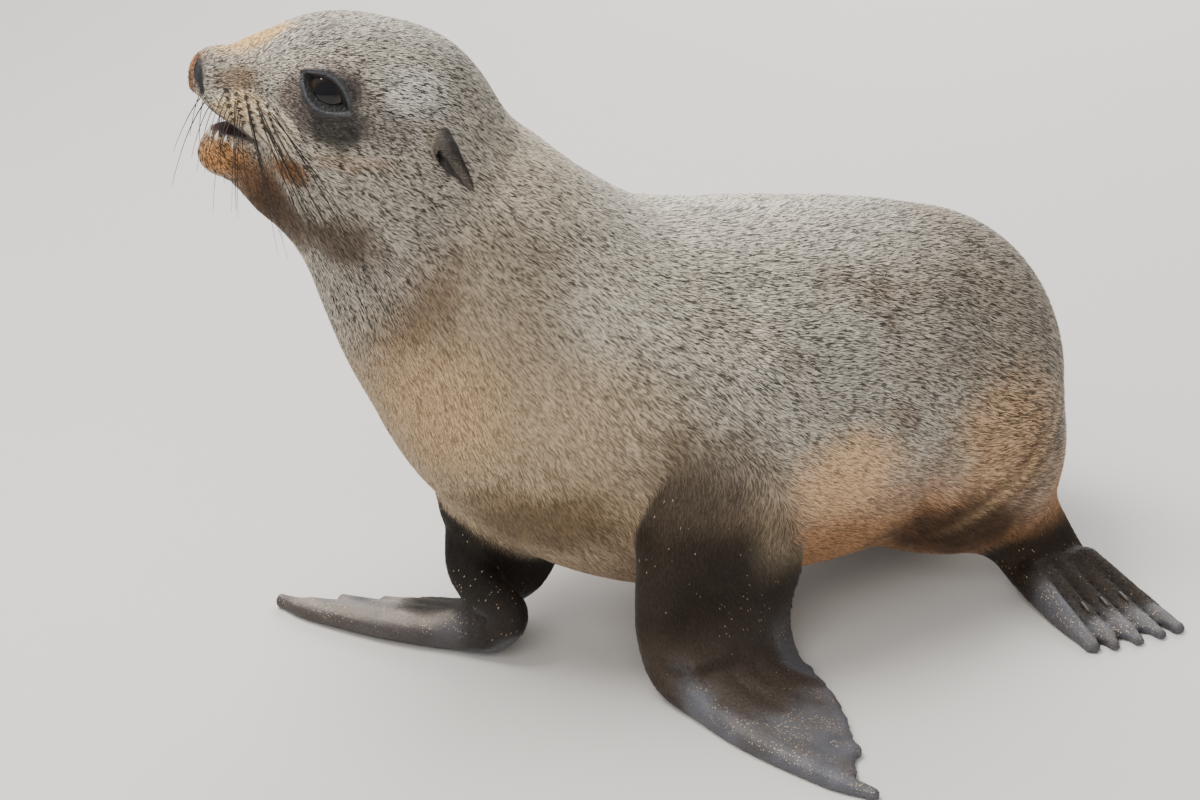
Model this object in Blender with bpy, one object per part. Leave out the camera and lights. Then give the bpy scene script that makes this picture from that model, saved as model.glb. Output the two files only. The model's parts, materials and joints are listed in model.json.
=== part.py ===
"""A young Cape fur seal (an eared seal, a pup of some months), standing on its flippers with
its head raised and its mouth a little open: a still, life-size model.

Frame: x to the animal's left, y to its rear, z up, in metres. The animal rests on z = 0 on the
flats of its four flippers. The origin is under the middle of its bounding box.

The animal is shaped as one smooth solid out of rounded masses and swept oval sections, joined
with fillets. That solid is thinned out and cut flat at the floor, ears and teeth are
joined on, and thin cuts part it into head, jaw, neck, trunk, hindquarters, limbs and tail.
"""

import bmesh
import bpy
import numpy as np
from mathutils import Matrix, Vector
from mathutils.bvhtree import BVHTree

GAP = 0.0003                 # between pieces that touch
COARSE = 0.0040              # grid over the body
FINE = 0.0022                # grid over the head and the flippers
BODY_FACES = 4700
EAR_FACES = 200
EYE_STEPS = 2

FLOAT = np.float32
MARGIN = 0.03      # a form is only worked out this near to its own box


def unit(vector):
    """the vector at length one"""
    vector = np.asarray(vector, float)
    return vector / np.linalg.norm(vector)


def smooth_min(first, second, blend):
    """union of two fields with a fillet about as wide as blend"""
    share = np.clip(0.5 + 0.5 * (second - first) / blend, 0, 1)
    return second + (first - second) * share - blend * share * (1 - share)


def smooth_max(first, second, blend):
    """the part that two fields share, with a rounded edge"""
    return -smooth_min(-first, -second, blend)


def outside_box(points, low, high):
    """distance from the points to a box"""
    away = np.maximum(np.maximum(low - points, points - high), 0)
    return np.sqrt((away ** 2).sum(1))


def near_only(form, points, margin):
    """a form's field near its own box, and the distance to the box further off"""
    value = outside_box(points, form.low, form.high)
    close = value < margin
    if close.any():
        value[close] = form.field(points[close])
    return value


class Ellipsoid:
    """a rounded mass, turned so that its first axis lies along aim"""

    def __init__(self, centre, radii, aim=None):
        self.centre = np.asarray(centre, FLOAT)
        self.radii = np.asarray(radii, FLOAT)
        self.axes = None
        if aim is not None:
            first = unit(aim)
            second = unit(np.cross((0, 0, 1), first))
            self.axes = np.array([first, second, np.cross(first, second)], FLOAT)
        size = self.radii if aim is None else self.radii.max()
        self.low = self.centre - size
        self.high = self.centre + size

    def field(self, points):
        local = points - self.centre
        if self.axes is not None:
            local = local @ self.axes.T
        near = np.sqrt(((local / self.radii) ** 2).sum(1))
        steep = np.sqrt(((local / self.radii ** 2) ** 2).sum(1)) + 1e-9
        return near * (near - 1) / steep


def curve_rows(rows, count):
    """rows of numbers read from a smooth curve through the given rows"""
    rows = np.asarray(rows, float)
    ends = np.vstack([2 * rows[0] - rows[1], rows, 2 * rows[-1] - rows[-2]])
    ends[0, 3:] = rows[1, 3:]
    ends[-1, 3:] = rows[-2, 3:]
    out = []
    for i in range(len(rows) - 1):
        a, b, c, d = ends[i:i + 4]
        for t in np.arange(count) / count:
            out.append(0.5 * (2 * b + (c - a) * t + (2 * a - 5 * b + 4 * c - d) * t * t
                              + (3 * b - a - 3 * c + d) * t ** 3))
    out.append(rows[-1])
    return np.array(out)


class Sweep:
    """an oval section swept along a curve; each row is x, y, z, half width, up, down"""

    def __init__(self, rows, side, step=0.004, blunt=1.0, lead=0.0):
        rows = np.asarray(rows, float)
        side = np.asarray(side, float)
        if side.ndim == 1:
            side = np.tile(side, (len(rows), 1))
        fine = curve_rows(np.hstack([rows, side]), 12)
        run = np.linalg.norm(np.diff(fine[:, :3], axis=0), axis=1)
        run = np.concatenate([[0], np.cumsum(run)])
        self.count = max(4, int(round(run[-1] / step)))
        self.step = run[-1] / self.count
        self.blunt = blunt
        self.lead = lead
        at = np.linspace(0, run[-1], self.count + 1)
        even = np.stack([np.interp(at, run, column) for column in fine.T], 1)
        middle = even[:, :3]
        along = np.gradient(middle, axis=0)
        along /= np.linalg.norm(along, axis=1, keepdims=True)
        across = even[:, 6:9]
        across = across - along * (across * along).sum(1, keepdims=True)
        across /= np.linalg.norm(across, axis=1, keepdims=True)
        up = np.cross(across, along)
        bend = np.gradient(along, axis=0) / self.step
        self.middle = middle.astype(FLOAT)
        self.table = np.hstack([middle, along, across, up, even[:, 3:6], bend]).astype(FLOAT)
        size = even[:, 3:6].max(1, keepdims=True) * max(1, blunt) * (1 + lead)
        self.low = (middle - size).min(0).astype(FLOAT)
        self.high = (middle + size).max(0).astype(FLOAT)

    def station(self, place):
        """the table's row at a place along the curve"""
        row = np.minimum(place.astype(int), self.count - 1)
        part = (place - row)[:, None].astype(FLOAT)
        return self.table[row] * (1 - part) + self.table[row + 1] * part

    def local(self, points):
        """place along the curve, then the point's sideways, upward and lengthways offsets"""
        far = (self.middle ** 2).sum(1) - 2 * (points @ self.middle.T)
        place = far.argmin(1).astype(FLOAT)
        for _ in range(3):
            row = self.station(place)
            offset = points - row[:, :3]
            ahead = (offset * row[:, 3:6]).sum(1)
            curl = np.maximum(1 - (offset * row[:, 15:18]).sum(1), 0.35)
            place = np.clip(place + ahead / self.step / curl, 0, self.count)
        row = self.station(place)
        offset = points - row[:, :3]
        return (place, row, (offset * row[:, 6:9]).sum(1), (offset * row[:, 9:12]).sum(1),
                (offset * row[:, 3:6]).sum(1))

    def field(self, points):
        place, row, across, up, ahead = self.local(points)
        wide = row[:, 12]
        tall = np.where(up > 0, row[:, 13], row[:, 14])
        tall = tall * (1 + self.lead * np.clip(across / wide, -1, 1))
        cap = np.minimum(wide, (row[:, 13] + row[:, 14]) / 2) * self.blunt
        ahead = np.where((place <= 0) | (place >= self.count), ahead, 0)
        near = np.sqrt((across / wide) ** 2 + (up / tall) ** 2 + (ahead / cap) ** 2)
        steep = np.sqrt((across / wide ** 2) ** 2 + (up / tall ** 2) ** 2
                        + (ahead / cap ** 2) ** 2) + 1e-9
        return near * (near - 1) / steep


def in_batches(field, points, size=150000):
    """the field at many points, a batch at a time"""
    out = np.empty(len(points), FLOAT)
    for start in range(0, len(points), size):
        out[start:start + size] = field(points[start:start + size])
    return out


def surface_mesh(field, axes, block=8):
    """vertices and quads where the field is zero, on a grid with the given coordinates"""
    cells = [len(axis) - 1 for axis in axes]
    blocks = [count // block for count in cells]
    edges = [axis[::block] for axis in axes]
    centres = [(edge[1:] + edge[:-1]) / 2 for edge in edges]
    halves = [(edge[1:] - edge[:-1]) / 2 for edge in edges]
    grid = np.stack(np.meshgrid(*centres, indexing="ij"), -1).reshape(-1, 3).astype(FLOAT)
    half = np.stack(np.meshgrid(*halves, indexing="ij"), -1).reshape(-1, 3)
    coarse = in_batches(field, grid)
    close = np.abs(coarse) < np.linalg.norm(half, axis=1) * 1.4
    values = np.where(coarse < 0, -1, 1).astype(FLOAT).reshape(blocks)
    for k in range(3):
        values = np.repeat(values, block, k)
    values = np.pad(values, ((0, 1), (0, 1), (0, 1)), constant_values=1)
    steps = np.stack(np.meshgrid(*[np.arange(block + 1)] * 3, indexing="ij"), -1).reshape(-1, 3)
    places = np.argwhere(close.reshape(blocks))
    places = (places[:, None, :] * block + steps[None]).reshape(-1, 3)
    flat = np.unique(np.ravel_multi_index(places.T, values.shape))
    places = np.unravel_index(flat, values.shape)
    points = np.stack([axes[k][places[k]] for k in range(3)], 1).astype(FLOAT)
    values.reshape(-1)[flat] = in_batches(field, points)
    return joined_cells(without_pinches(values), axes)


def without_pinches(values):
    """the grid with a few corners moved inside, so that the surface never touches itself"""
    step = FLOAT(-0.00001)
    for _ in range(20):
        inside = values < 0
        pinched = []
        for k in range(3):
            slices = np.moveaxis(inside, k, 0)
            one, two = slices[:, :-1, :-1], slices[:, 1:, :-1]
            three, four = slices[:, :-1, 1:], slices[:, 1:, 1:]
            at = np.argwhere((one == four) & (two == three) & (one != two))
            for i, j in ((0, 0), (1, 0), (0, 1), (1, 1)):
                corner = at + np.array((0, i, j))
                pinched.append(np.insert(corner[:, 1:], k, corner[:, 0], axis=1))
        for i, j in ((0, 0), (1, 0), (0, 1), (1, 1)):
            corners = np.array([(0, i, j), (1, 1 - i, 1 - j)])
            count = sum(inside[x:inside.shape[0] - 1 + x, y:inside.shape[1] - 1 + y,
                               z:inside.shape[2] - 1 + z].astype(np.int8)
                        for z in (0, 1) for y in (0, 1) for x in (0, 1))
            pair = [inside[x:inside.shape[0] - 1 + x, y:inside.shape[1] - 1 + y,
                           z:inside.shape[2] - 1 + z] for x, y, z in corners]
            at = np.argwhere((pair[0] & pair[1] & (count == 2))
                             | (~pair[0] & ~pair[1] & (count == 6)))
            for corner in ((0, i, j), (1, i, j), (1, 1 - i, j)):
                pinched.append(at + np.array(corner))
        pinched = np.vstack(pinched)
        pinched = pinched[~inside[tuple(pinched.T)]]
        if not len(pinched):
            break
        values[tuple(pinched.T)] = step
    return values


def joined_cells(values, axes):
    """one vertex in each cell that the surface crosses, joined by quads (surface nets)"""
    inside = values < 0
    shape = np.array(values.shape)
    corners = [(x, y, z) for z in (0, 1) for y in (0, 1) for x in (0, 1)]
    count = np.zeros(shape - 1, np.int8)
    for x, y, z in corners:
        count += inside[x:shape[0] - 1 + x, y:shape[1] - 1 + y, z:shape[2] - 1 + z]
    crossed = (count > 0) & (count < 8)
    number = np.full(shape - 1, -1, int)
    total = crossed.sum()
    number[crossed] = np.arange(total)
    cell = np.argwhere(crossed)
    sums = np.zeros((total, 3))
    hits = np.zeros(total)
    for corner in corners:
        for k in range(3):
            if corner[k]:
                continue
            other = np.array(corner)
            other[k] = 1
            first = values[tuple((cell + corner).T)]
            second = values[tuple((cell + other).T)]
            cross = (first < 0) != (second < 0)
            part = np.where(cross, first / np.where(cross, first - second, 1), 0)
            place = np.tile(np.array(corner, float), (total, 1))
            place[:, k] += part
            sums += place * cross[:, None]
            hits += cross
    place = cell + sums / hits[:, None]
    vertices = np.stack([np.interp(place[:, k], np.arange(shape[k]), axes[k])
                         for k in range(3)], 1)
    quads = []
    for k in range(3):
        first, second = [j for j in range(3) if j != k]
        before = np.take(inside, np.arange(shape[k] - 1), k)
        after = np.take(inside, np.arange(1, shape[k]), k)
        edge = np.argwhere(before != after)
        whole = ((edge[:, first] > 0) & (edge[:, second] > 0)
                 & (edge[:, first] < shape[first] - 1) & (edge[:, second] < shape[second] - 1))
        edge = edge[whole]
        flip = before[tuple(edge.T)]
        if k == 1:
            flip = ~flip
        ring = []
        for i, j in ((0, 0), (-1, 0), (-1, -1), (0, -1)):
            at = edge.copy()
            at[:, first] += i
            at[:, second] += j
            ring.append(number[tuple(at.T)])
        ring = np.stack(ring, 1)
        ring[~flip] = ring[~flip][:, ::-1]
        quads.append(ring)
    return vertices, np.vstack(quads)


def slopes(field, points, step=0.0003):
    """the field's gradient at the points"""
    out = np.empty(points.shape, FLOAT)
    for k in range(3):
        shift = np.zeros(3, FLOAT)
        shift[k] = step
        out[:, k] = (in_batches(field, points + shift)
                     - in_batches(field, points - shift)) / (2 * step)
    return out


def settle(field, points, rounds=2, most=0.002):
    """the points moved onto the surface"""
    points = points.astype(FLOAT)
    for _ in range(rounds):
        slope = slopes(field, points)
        value = in_batches(field, points)
        move = -(value / ((slope ** 2).sum(1) + 1e-6))[:, None] * slope
        length = np.linalg.norm(move, axis=1, keepdims=True)
        points = points + move * np.minimum(1, most / np.maximum(length, 1e-9))
    return points


# ---- body: x to the animal's left, y to its rear, z up, metres; the floor is z = 0 ----
# rows: x, y, z of the body's middle line, then half width, height above it, depth below it
BODY = [(-0.014, -0.124, 0.284, 0.034, 0.034, 0.034),
        (-0.012, -0.106, 0.260, 0.048, 0.048, 0.052),
        (-0.010, -0.084, 0.230, 0.061, 0.061, 0.070),
        (-0.004, -0.054, 0.194, 0.073, 0.069, 0.087),
        (0.000, -0.014, 0.154, 0.086, 0.083, 0.103),
        (0.000, 0.036, 0.126, 0.095, 0.094, 0.107),
        (0.000, 0.088, 0.112, 0.097, 0.099, 0.098),
        (0.000, 0.132, 0.102, 0.092, 0.102, 0.088),
        (0.000, 0.168, 0.092, 0.082, 0.103, 0.080)]
RUMP_BLUNT = 1.15
TAIL = [(0.000, 0.236, 0.064, 0.022, 0.014, 0.014),
        (0.000, 0.259, 0.044, 0.014, 0.009, 0.009),
        (0.000, 0.270, 0.023, 0.007, 0.005, 0.005)]
SHOULDERS = [((0.052, 0.046, 0.120), (0.046, 0.060, 0.060)),
             ((-0.050, 0.026, 0.118), (0.044, 0.058, 0.060))]
HIPS = [((0.040, 0.190, 0.066), (0.044, 0.054, 0.048)),
        ((-0.040, 0.190, 0.066), (0.044, 0.054, 0.048))]

# ---- fore limbs: rows as above, from the shoulder to the wrist, with the chord's direction ----
LEFT_ARM = [(0.055, 0.060, 0.140, 0.040, 0.034, 0.034),
            (0.078, 0.036, 0.108, 0.041, 0.024, 0.028),
            (0.088, 0.0195, 0.076, 0.0375, 0.016, 0.019),
            (0.090, 0.0245, 0.046, 0.0445, 0.012, 0.013)]
LEFT_ARM_CHORD = [(0.15, -0.95, 0.25), (0.10, -0.97, 0.10), (0, -0.98, 0), (0, -0.98, 0)]
LEFT_WRIST = (0.098, 0.022)
LEFT_HEADING = 22.5          # degrees from the animal's left towards its rear
LEFT_SPREAD = 0.88
LEFT_REACH = 0.97
RIGHT_ARM = [(-0.058, 0.030, 0.140, 0.038, 0.034, 0.034),
             (-0.049, -0.011, 0.104, 0.039, 0.026, 0.027),
             (-0.031, -0.036, 0.070, 0.040, 0.018, 0.019),
             (-0.013, -0.047, 0.044, 0.043, 0.013, 0.013)]
RIGHT_ARM_CHORD = [(0.30, -0.95, 0.20), (0.30, -0.95, 0.10), (0.40, -0.90, 0), (0.55, -0.83, 0)]
RIGHT_WRIST = (-0.004, -0.053)
RIGHT_HEADING = -143.0
RIGHT_SPREAD = 0.50
RIGHT_REACH = 0.93
# hand, seen from above: how far out from the wrist, how far back, height, half chord, up, down
PALM = [(0.002, 0.012, 0.022, 0.045, 0.009, 0.010),
        (0.016, 0.007, 0.0085, 0.041, 0.007, 0.009),
        (0.040, -0.001, 0.006, 0.036, 0.0062, 0.008),
        (0.064, -0.011, 0.0045, 0.027, 0.0058, 0.007),
        (0.084, -0.020, 0.004, 0.018, 0.0050, 0.006),
        (0.100, -0.028, 0.003, 0.009, 0.003, 0.005)]
HAND_FRONT = -0.032          # the digits close towards this line
LEADING = [(-0.020, -0.027, 0.028, 0.010, 0.010, 0.010),
           (-0.010, -0.0265, 0.012, 0.009, 0.009, 0.011),
           (0.016, -0.0290, 0.0075, 0.0085, 0.0068, 0.009),
           (0.038, -0.0330, 0.0065, 0.0085, 0.0060, 0.009),
           (0.062, -0.0355, 0.0055, 0.0075, 0.0052, 0.008),
           (0.100, -0.0355, 0.0042, 0.006, 0.0043, 0.0065),
           (0.121, -0.0325, 0.003, 0.0035, 0.003, 0.005)]
# digits two to five: base out and back, bend out and back, tip out and back, radius
DIGITS = [(0.006, -0.018, 0.045, -0.018, 0.090, -0.005, 0.0080),
          (0.006, -0.002, 0.040, 0.002, 0.068, 0.013, 0.0072),
          (0.006, 0.014, 0.030, 0.018, 0.049, 0.028, 0.0065),
          (0.004, 0.028, 0.014, 0.036, 0.024, 0.046, 0.0060)]

# ---- hind limbs ----
ANKLE = [(0.038, 0.194, 0.068, 0.036, 0.030, 0.032),
         (0.050, 0.212, 0.042, 0.028, 0.018, 0.022),
         (0.058, 0.222, 0.024, 0.026, 0.011, 0.014)]
HIND_START = (0.058, 0.226)
HIND_HEADING = 4.0
# foot, seen from above: out, back, height, half width, up, down
FOOT = [(0.016, 0.000, 0.010, 0.025, 0.0085, 0.011),
        (0.040, 0.000, 0.0060, 0.026, 0.0060, 0.009),
        (0.062, 0.000, 0.0042, 0.026, 0.0044, 0.007),
        (0.078, 0.000, 0.0030, 0.025, 0.0030, 0.006)]
# five digits: back at the base, back at the tip, length, radius
TOES = [(-0.0175, -0.0245, 0.083, 0.0085),
        (-0.0095, -0.0135, 0.087, 0.0064),
        (0.0000, 0.0000, 0.089, 0.0062),
        (0.0095, 0.0140, 0.089, 0.0064),
        (0.0175, 0.0255, 0.088, 0.0078)]

# ---- head: centimetres from the middle of the brain case: forward, left, up ----
HEAD = (-0.012, -0.108, 0.275)
HEAD_TURN = 20.0             # degrees to the animal's right
HEAD_PITCH = 7.0             # degrees, nose up
MUZZLE = [(1.5, 0, 1.30, 3.85, 3.05, 2.70),
          (4.0, 0, 1.45, 3.00, 2.82, 2.30),
          (6.2, 0, 1.55, 2.20, 2.36, 1.60),
          (7.6, 0, 1.62, 1.60, 1.66, 1.15)]
JAW = [(0.0, 0, -2.60, 3.30, 2.40, 3.60),
       (2.2, 0, -2.60, 2.90, 2.10, 3.30),
       (4.6, 0, -2.40, 2.25, 1.90, 2.45),
       (7.1, 0, -1.98, 1.32, 1.62, 1.00)]
MOUTH_CORNER = (5.9, -0.48)      # forward, up
UPPER_LIP = (0.95, 0.28)         # how fast the upper lip rises at the corner, and levels out
EYE = (2.52, 2.95, 2.62)
EYE_RADIUS = 1.30


def head_axes():
    """the head's forward, left and up directions"""
    turn = np.radians(HEAD_TURN)
    pitch = np.radians(HEAD_PITCH)
    forward = np.array([-np.sin(turn) * np.cos(pitch), -np.cos(turn) * np.cos(pitch),
                        np.sin(pitch)])
    left = unit(np.cross((0, 0, 1), forward))
    return np.array([forward, left, np.cross(forward, left)])


HEAD_AXES = head_axes()


def head_to_body(place):
    """a place in the head's centimetres, as a place in the body's metres"""
    return np.array(HEAD) + 0.01 * np.asarray(place, float) @ HEAD_AXES


def body_to_head(points):
    """points in the body's metres, as points in the head's centimetres"""
    return ((points - np.array(HEAD, FLOAT)) @ HEAD_AXES.T.astype(FLOAT)) * FLOAT(100)


def floor_axes(heading):
    """on the floor, the direction of a hand or a foot and the direction of its rear edge"""
    angle = np.radians(heading)
    out = np.array([np.cos(angle), np.sin(angle), 0])
    back = np.array([-out[1], out[0], 0])
    return out, back if back[1] > 0 else -back


def laid_rows(start, heading, rows):
    """rows given by how far out and how far back they lie, as rows in the body's frame"""
    out, back = floor_axes(heading)
    placed = []
    for row in rows:
        x, y, _ = np.array([*start, 0]) + out * row[0] + back * row[1]
        placed.append((x, y, *row[2:]))
    return placed


def narrowed(place, spread):
    """a place behind the leading edge, drawn in as the digits close"""
    return HAND_FRONT + (place - HAND_FRONT) * spread


def fore_limb(arm, chord, wrist, heading, spread, reach):
    """arm, palm, leading digit and the four digits behind it, each with its blend"""
    out, back = floor_axes(heading)
    chords = list(chord) + [tuple(-back)] * len(PALM)
    palm = [(row[0] * reach, narrowed(row[1], spread), row[2], row[3] * spread, *row[4:])
            for row in PALM]
    leading = [(row[0] * reach, *row[1:]) for row in LEADING]
    forms = [(Sweep(list(arm) + laid_rows(wrist, heading, palm), chords, lead=0.35), 0.016)]
    front = [(*(np.array(row[:3]) + unit(side) * (row[3] - 0.010)), 0.011, 0.011, 0.011)
             for row, side in zip(arm[2:], chord[2:])]
    rows = front + laid_rows(wrist, heading, leading)
    forms.append((Sweep(rows, chord[2:] + [tuple(-back)] * len(LEADING)), 0.007))
    for base_out, base_back, mid_out, mid_back, tip_out, tip_back, radius in DIGITS:
        rows = [(base_out, base_back, 0.013, radius, radius * 0.9, radius),
                (mid_out, mid_back, 0.007, radius * 0.8, radius * 0.7, radius),
                (tip_out, tip_back, 0.003, radius * 0.45, radius * 0.4, radius * 0.7)]
        rows = [(row[0] * reach, narrowed(row[1], spread), *row[2:]) for row in rows]
        forms.append((Sweep(laid_rows(wrist, heading, rows), tuple(-back)), 0.004))
    return forms


def hind_limb(side, heading):
    """ankle, foot and five digits; side is 1 for the left and -1 for the right"""
    start = (side * HIND_START[0], HIND_START[1])
    heading = heading if side > 0 else 180 - heading
    out, back = floor_axes(heading)
    leg = [(side * row[0], *row[1:]) for row in ANKLE]
    rows = leg + laid_rows(start, heading, FOOT)
    forms = [(Sweep(rows, [(side * 0.1, -1, 0)] * len(leg) + [tuple(-back)] * len(FOOT),
                    lead=0.2), 0.012)]
    for base, tip, length, radius in TOES:
        rows = [(0.020, base, 0.013, radius, radius * 0.9, radius),
                (0.055, (base + tip) / 2, 0.0065, radius * 0.85, radius * 0.7, radius),
                (length, tip, 0.0028, radius * 0.55, radius * 0.35, radius * 0.6)]
        forms.append((Sweep(laid_rows(start, heading, rows), tuple(-back)), 0.004))
    return forms


MUZZLE_FORM = Sweep(MUZZLE, (0, -1, 0), step=0.5)
JAW_FORM = Sweep(JAW, (0, -1, 0), step=0.5)
# further masses of the head, each with its fillet; the paired ones lie to the left
HEAD_FORMS = [(Ellipsoid((0.0, 0.0, 0.40), (5.3, 4.6, 4.72)), 0.1),
              (Ellipsoid((2.6, 1.3, 2.2), (3.1, 2.6, 2.45)), 1.2),
              (MUZZLE_FORM, 1.3),
              (Ellipsoid((6.2, 1.25, 0.75), (2.1, 1.35, 1.38)), 0.6),
              (Ellipsoid((8.15, 0.0, 1.9), (0.85, 1.05, 1.0)), 0.5),
              (Ellipsoid((0.6, 2.4, -1.6), (3.9, 2.4, 3.3)), 1.5),
              (JAW_FORM, 0.9)]
LID_THICKNESS = 0.10
LID_SLOPE = 0.5                  # how fast the opening widens above the eye
EYE_AIM = (0.24, 0.95, 0.16)
APERTURE = (1.38, 0.76)          # half width and half height of the opening between the lids
APERTURE_TILT = 30.0             # degrees that the front corner lies above the rear one
EAR = [(-2.60, 4.10, 1.20, 0.42, 0.32, 0.32),
       (-2.80, 4.80, 0.92, 0.54, 0.33, 0.33),
       (-3.15, 5.32, 0.42, 0.52, 0.30, 0.30),
       (-3.68, 5.55, -0.12, 0.34, 0.22, 0.22),
       (-4.05, 5.52, -0.55, 0.15, 0.13, 0.13)]
EAR_SIDE = (0.75, 0.10, -0.60)
EAR_FORM = Sweep(EAR, EAR_SIDE, step=0.15)
EAR_FOLD = Sweep([(row[0] + 0.20, row[1] + 0.16, row[2] - 0.26, row[3] * 0.40, 0.20, 0.20)
                  for row in EAR[1:4]], EAR_SIDE, step=0.15)


def eye_axes():
    """outward from the eye, along the slit towards its rear corner, and across the slit"""
    aim = unit(EYE_AIM)
    level = unit(np.cross(aim, (0, 0, 1)))
    upright = np.cross(level, aim)
    tilt = np.radians(APERTURE_TILT)
    slit = np.cos(tilt) * level + np.sin(tilt) * upright
    return np.array([aim, slit, np.cross(slit, aim)], FLOAT)


EYE_AXES = eye_axes()


def with_eyes(value, local):
    """lids drawn over the eyeball, with an almond-shaped opening"""
    offset = local - np.array(EYE, FLOAT)
    away = np.sqrt((offset ** 2).sum(1))
    value = smooth_min(value, away - (EYE_RADIUS + LID_THICKNESS), FLOAT(0.5))
    aim, slit, across = (offset @ EYE_AXES.T).T
    span = np.clip(1 - (slit / APERTURE[0]) ** 2, -0.5, 1)
    opening = (np.abs(across) - APERTURE[1] * span) * 0.7
    opening -= LID_SLOPE * np.clip(away - EYE_RADIUS, 0, 0.5)
    opening = np.maximum(opening, 0.3 - aim)
    return smooth_max(value, -opening, FLOAT(0.1))


def from_lips(local):
    """how far forward of the mouth's corner points lie, and how far above each lip"""
    ahead = local[:, 0] - MOUTH_CORNER[0]
    above = local[:, 2] - MOUTH_CORNER[1]
    rising = np.maximum(ahead, 0)
    return ahead, above - UPPER_LIP[0] * rising / (1 + UPPER_LIP[1] * rising), above


def with_mouth(value, local):
    """a wedge between the jaws, open at the front"""
    ahead, upper, lower = from_lips(local)
    wedge = smooth_max(upper * 0.8, -lower, 0.15)
    wedge = smooth_max(wedge, -0.6 * ahead, 0.15)
    return smooth_max(value, -wedge, FLOAT(0.3))


def head_field(points):
    """the head's field in metres"""
    local = body_to_head(points)
    local[:, 1] = np.sqrt(local[:, 1] ** 2 + 0.04) - 0.1
    value = HEAD_FORMS[0][0].field(local)
    for form, blend in HEAD_FORMS[1:]:
        value = smooth_min(value, near_only(form, local, 3.0), FLOAT(blend))
    value = with_mouth(value, local)
    value = with_eyes(value, local)
    return value * FLOAT(0.01)


def ear_field(points):
    """both ears, hollowed at the front, in metres"""
    local = body_to_head(points)
    local[:, 1] = np.abs(local[:, 1])
    value = EAR_FORM.field(local)
    value = smooth_max(value, -EAR_FOLD.field(local), FLOAT(0.12))
    return value * FLOAT(0.01)


BODY_FORM = Sweep(BODY, (1, 0, 0), step=0.005, blunt=RUMP_BLUNT)
FORMS = [(Ellipsoid(*SHOULDERS[0]), 0.020), (Ellipsoid(*SHOULDERS[1]), 0.020)]
FORMS += fore_limb(LEFT_ARM, LEFT_ARM_CHORD, LEFT_WRIST, LEFT_HEADING, LEFT_SPREAD,
                   LEFT_REACH)
FORMS += fore_limb(RIGHT_ARM, RIGHT_ARM_CHORD, RIGHT_WRIST, RIGHT_HEADING, RIGHT_SPREAD,
                   RIGHT_REACH)
FORMS += [(Ellipsoid(*HIPS[0]), 0.020), (Ellipsoid(*HIPS[1]), 0.020)]
FORMS += hind_limb(1, HIND_HEADING)
FORMS += hind_limb(-1, HIND_HEADING)
FORMS.append((Sweep(TAIL, (1, 0, 0)), 0.012))
HEAD_LOW = np.array((-0.10, -0.23, 0.16), FLOAT)
HEAD_HIGH = np.array((0.07, -0.03, 0.36), FLOAT)


def body_field(points):
    """the whole animal's field: below zero inside, in metres"""
    value = BODY_FORM.field(points)
    gap = outside_box(points, HEAD_LOW, HEAD_HIGH)
    close = gap < MARGIN
    part = gap + FLOAT(0.01)
    if close.any():
        part[close] = head_field(points[close])
    value = smooth_min(value, part, FLOAT(0.022))
    for form, blend in FORMS:
        value = smooth_min(value, near_only(form, points, MARGIN), FLOAT(blend))
    return value


# ---- teeth of the lower jaw: forward, left, height, radius, in the head's centimetres ----
TEETH = [(7.90, 0.20, 0.22, 0.08),
         (7.82, 0.48, 0.24, 0.08),
         (7.52, 0.86, 0.34, 0.10),
         (7.12, 1.04, 0.24, 0.09),
         (6.72, 1.16, 0.36, 0.11)]
GUM_HEIGHT = -0.52
CLAW_LENGTH = 0.0075
CLAW_RADIUS = 0.0014
CLAW_PLACE = 0.056           # out along the foot
JAW_CUT = ((7.00, 0.00), (3.20, -7.60))
NECK_CUT = ((-3.6, 0.0, -2.9), (0.853, 0.0, 0.52))
CHEST_CUT = ((0.0, -0.034, 0.174), (0.0, -0.707, 0.707))
LOIN_CUT = ((0.0, 0.150, 0.098), (0.0, 0.96, -0.27))
LEFT_WRIST_CUT = (0.100, 0.018, 0.030, 0.055, 0.035)
RIGHT_WRIST_CUT = (0.000, -0.052, 0.024, 0.042, 0.045)
FOOT_CUT = 0.024             # out along the foot
CHIP_FACES = 40              # a smaller body is a chip left by a cut
ROOT_OFFSET = 0.004          # how far outside the trunk a limb is parted from it

FUR_SILVER = (0.30, 0.27, 0.22, 1)
FUR_TAN = (0.36, 0.28, 0.19, 1)
FUR_DARK = (0.055, 0.042, 0.036, 1)
EYE_BLACK = (0.010, 0.008, 0.008, 1)
CLAW_HORN = (0.16, 0.12, 0.10, 1)


def clear_scene():
    for old in list(bpy.data.objects):
        bpy.data.objects.remove(old, do_unlink=True)


def material(name, colour, roughness):
    made = bpy.data.materials.new(name)
    made.use_nodes = True
    shader = made.node_tree.nodes["Principled BSDF"]
    shader.inputs["Base Color"].default_value = colour
    shader.inputs["Roughness"].default_value = roughness
    shader.inputs["Metallic"].default_value = 0.0
    made.diffuse_color = colour
    return made


def new_object(name, mesh):
    made = bpy.data.objects.new(name, mesh)
    bpy.context.scene.collection.objects.link(made)
    return made


def object_from(name, vertices, faces):
    mesh = bpy.data.meshes.new(name)
    mesh.from_pydata([tuple(map(float, v)) for v in vertices], [],
                     [tuple(map(int, f)) for f in faces])
    mesh.validate()
    return new_object(name, mesh)


def object_from_bmesh(name, shape):
    mesh = bpy.data.meshes.new(name)
    shape.to_mesh(mesh)
    shape.free()
    return new_object(name, mesh)


def applied(made):
    """the object with its modifiers made part of its mesh"""
    graph = bpy.context.evaluated_depsgraph_get()
    mesh = bpy.data.meshes.new_from_object(made.evaluated_get(graph))
    made.modifiers.clear()
    made.data = mesh
    return made


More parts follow.
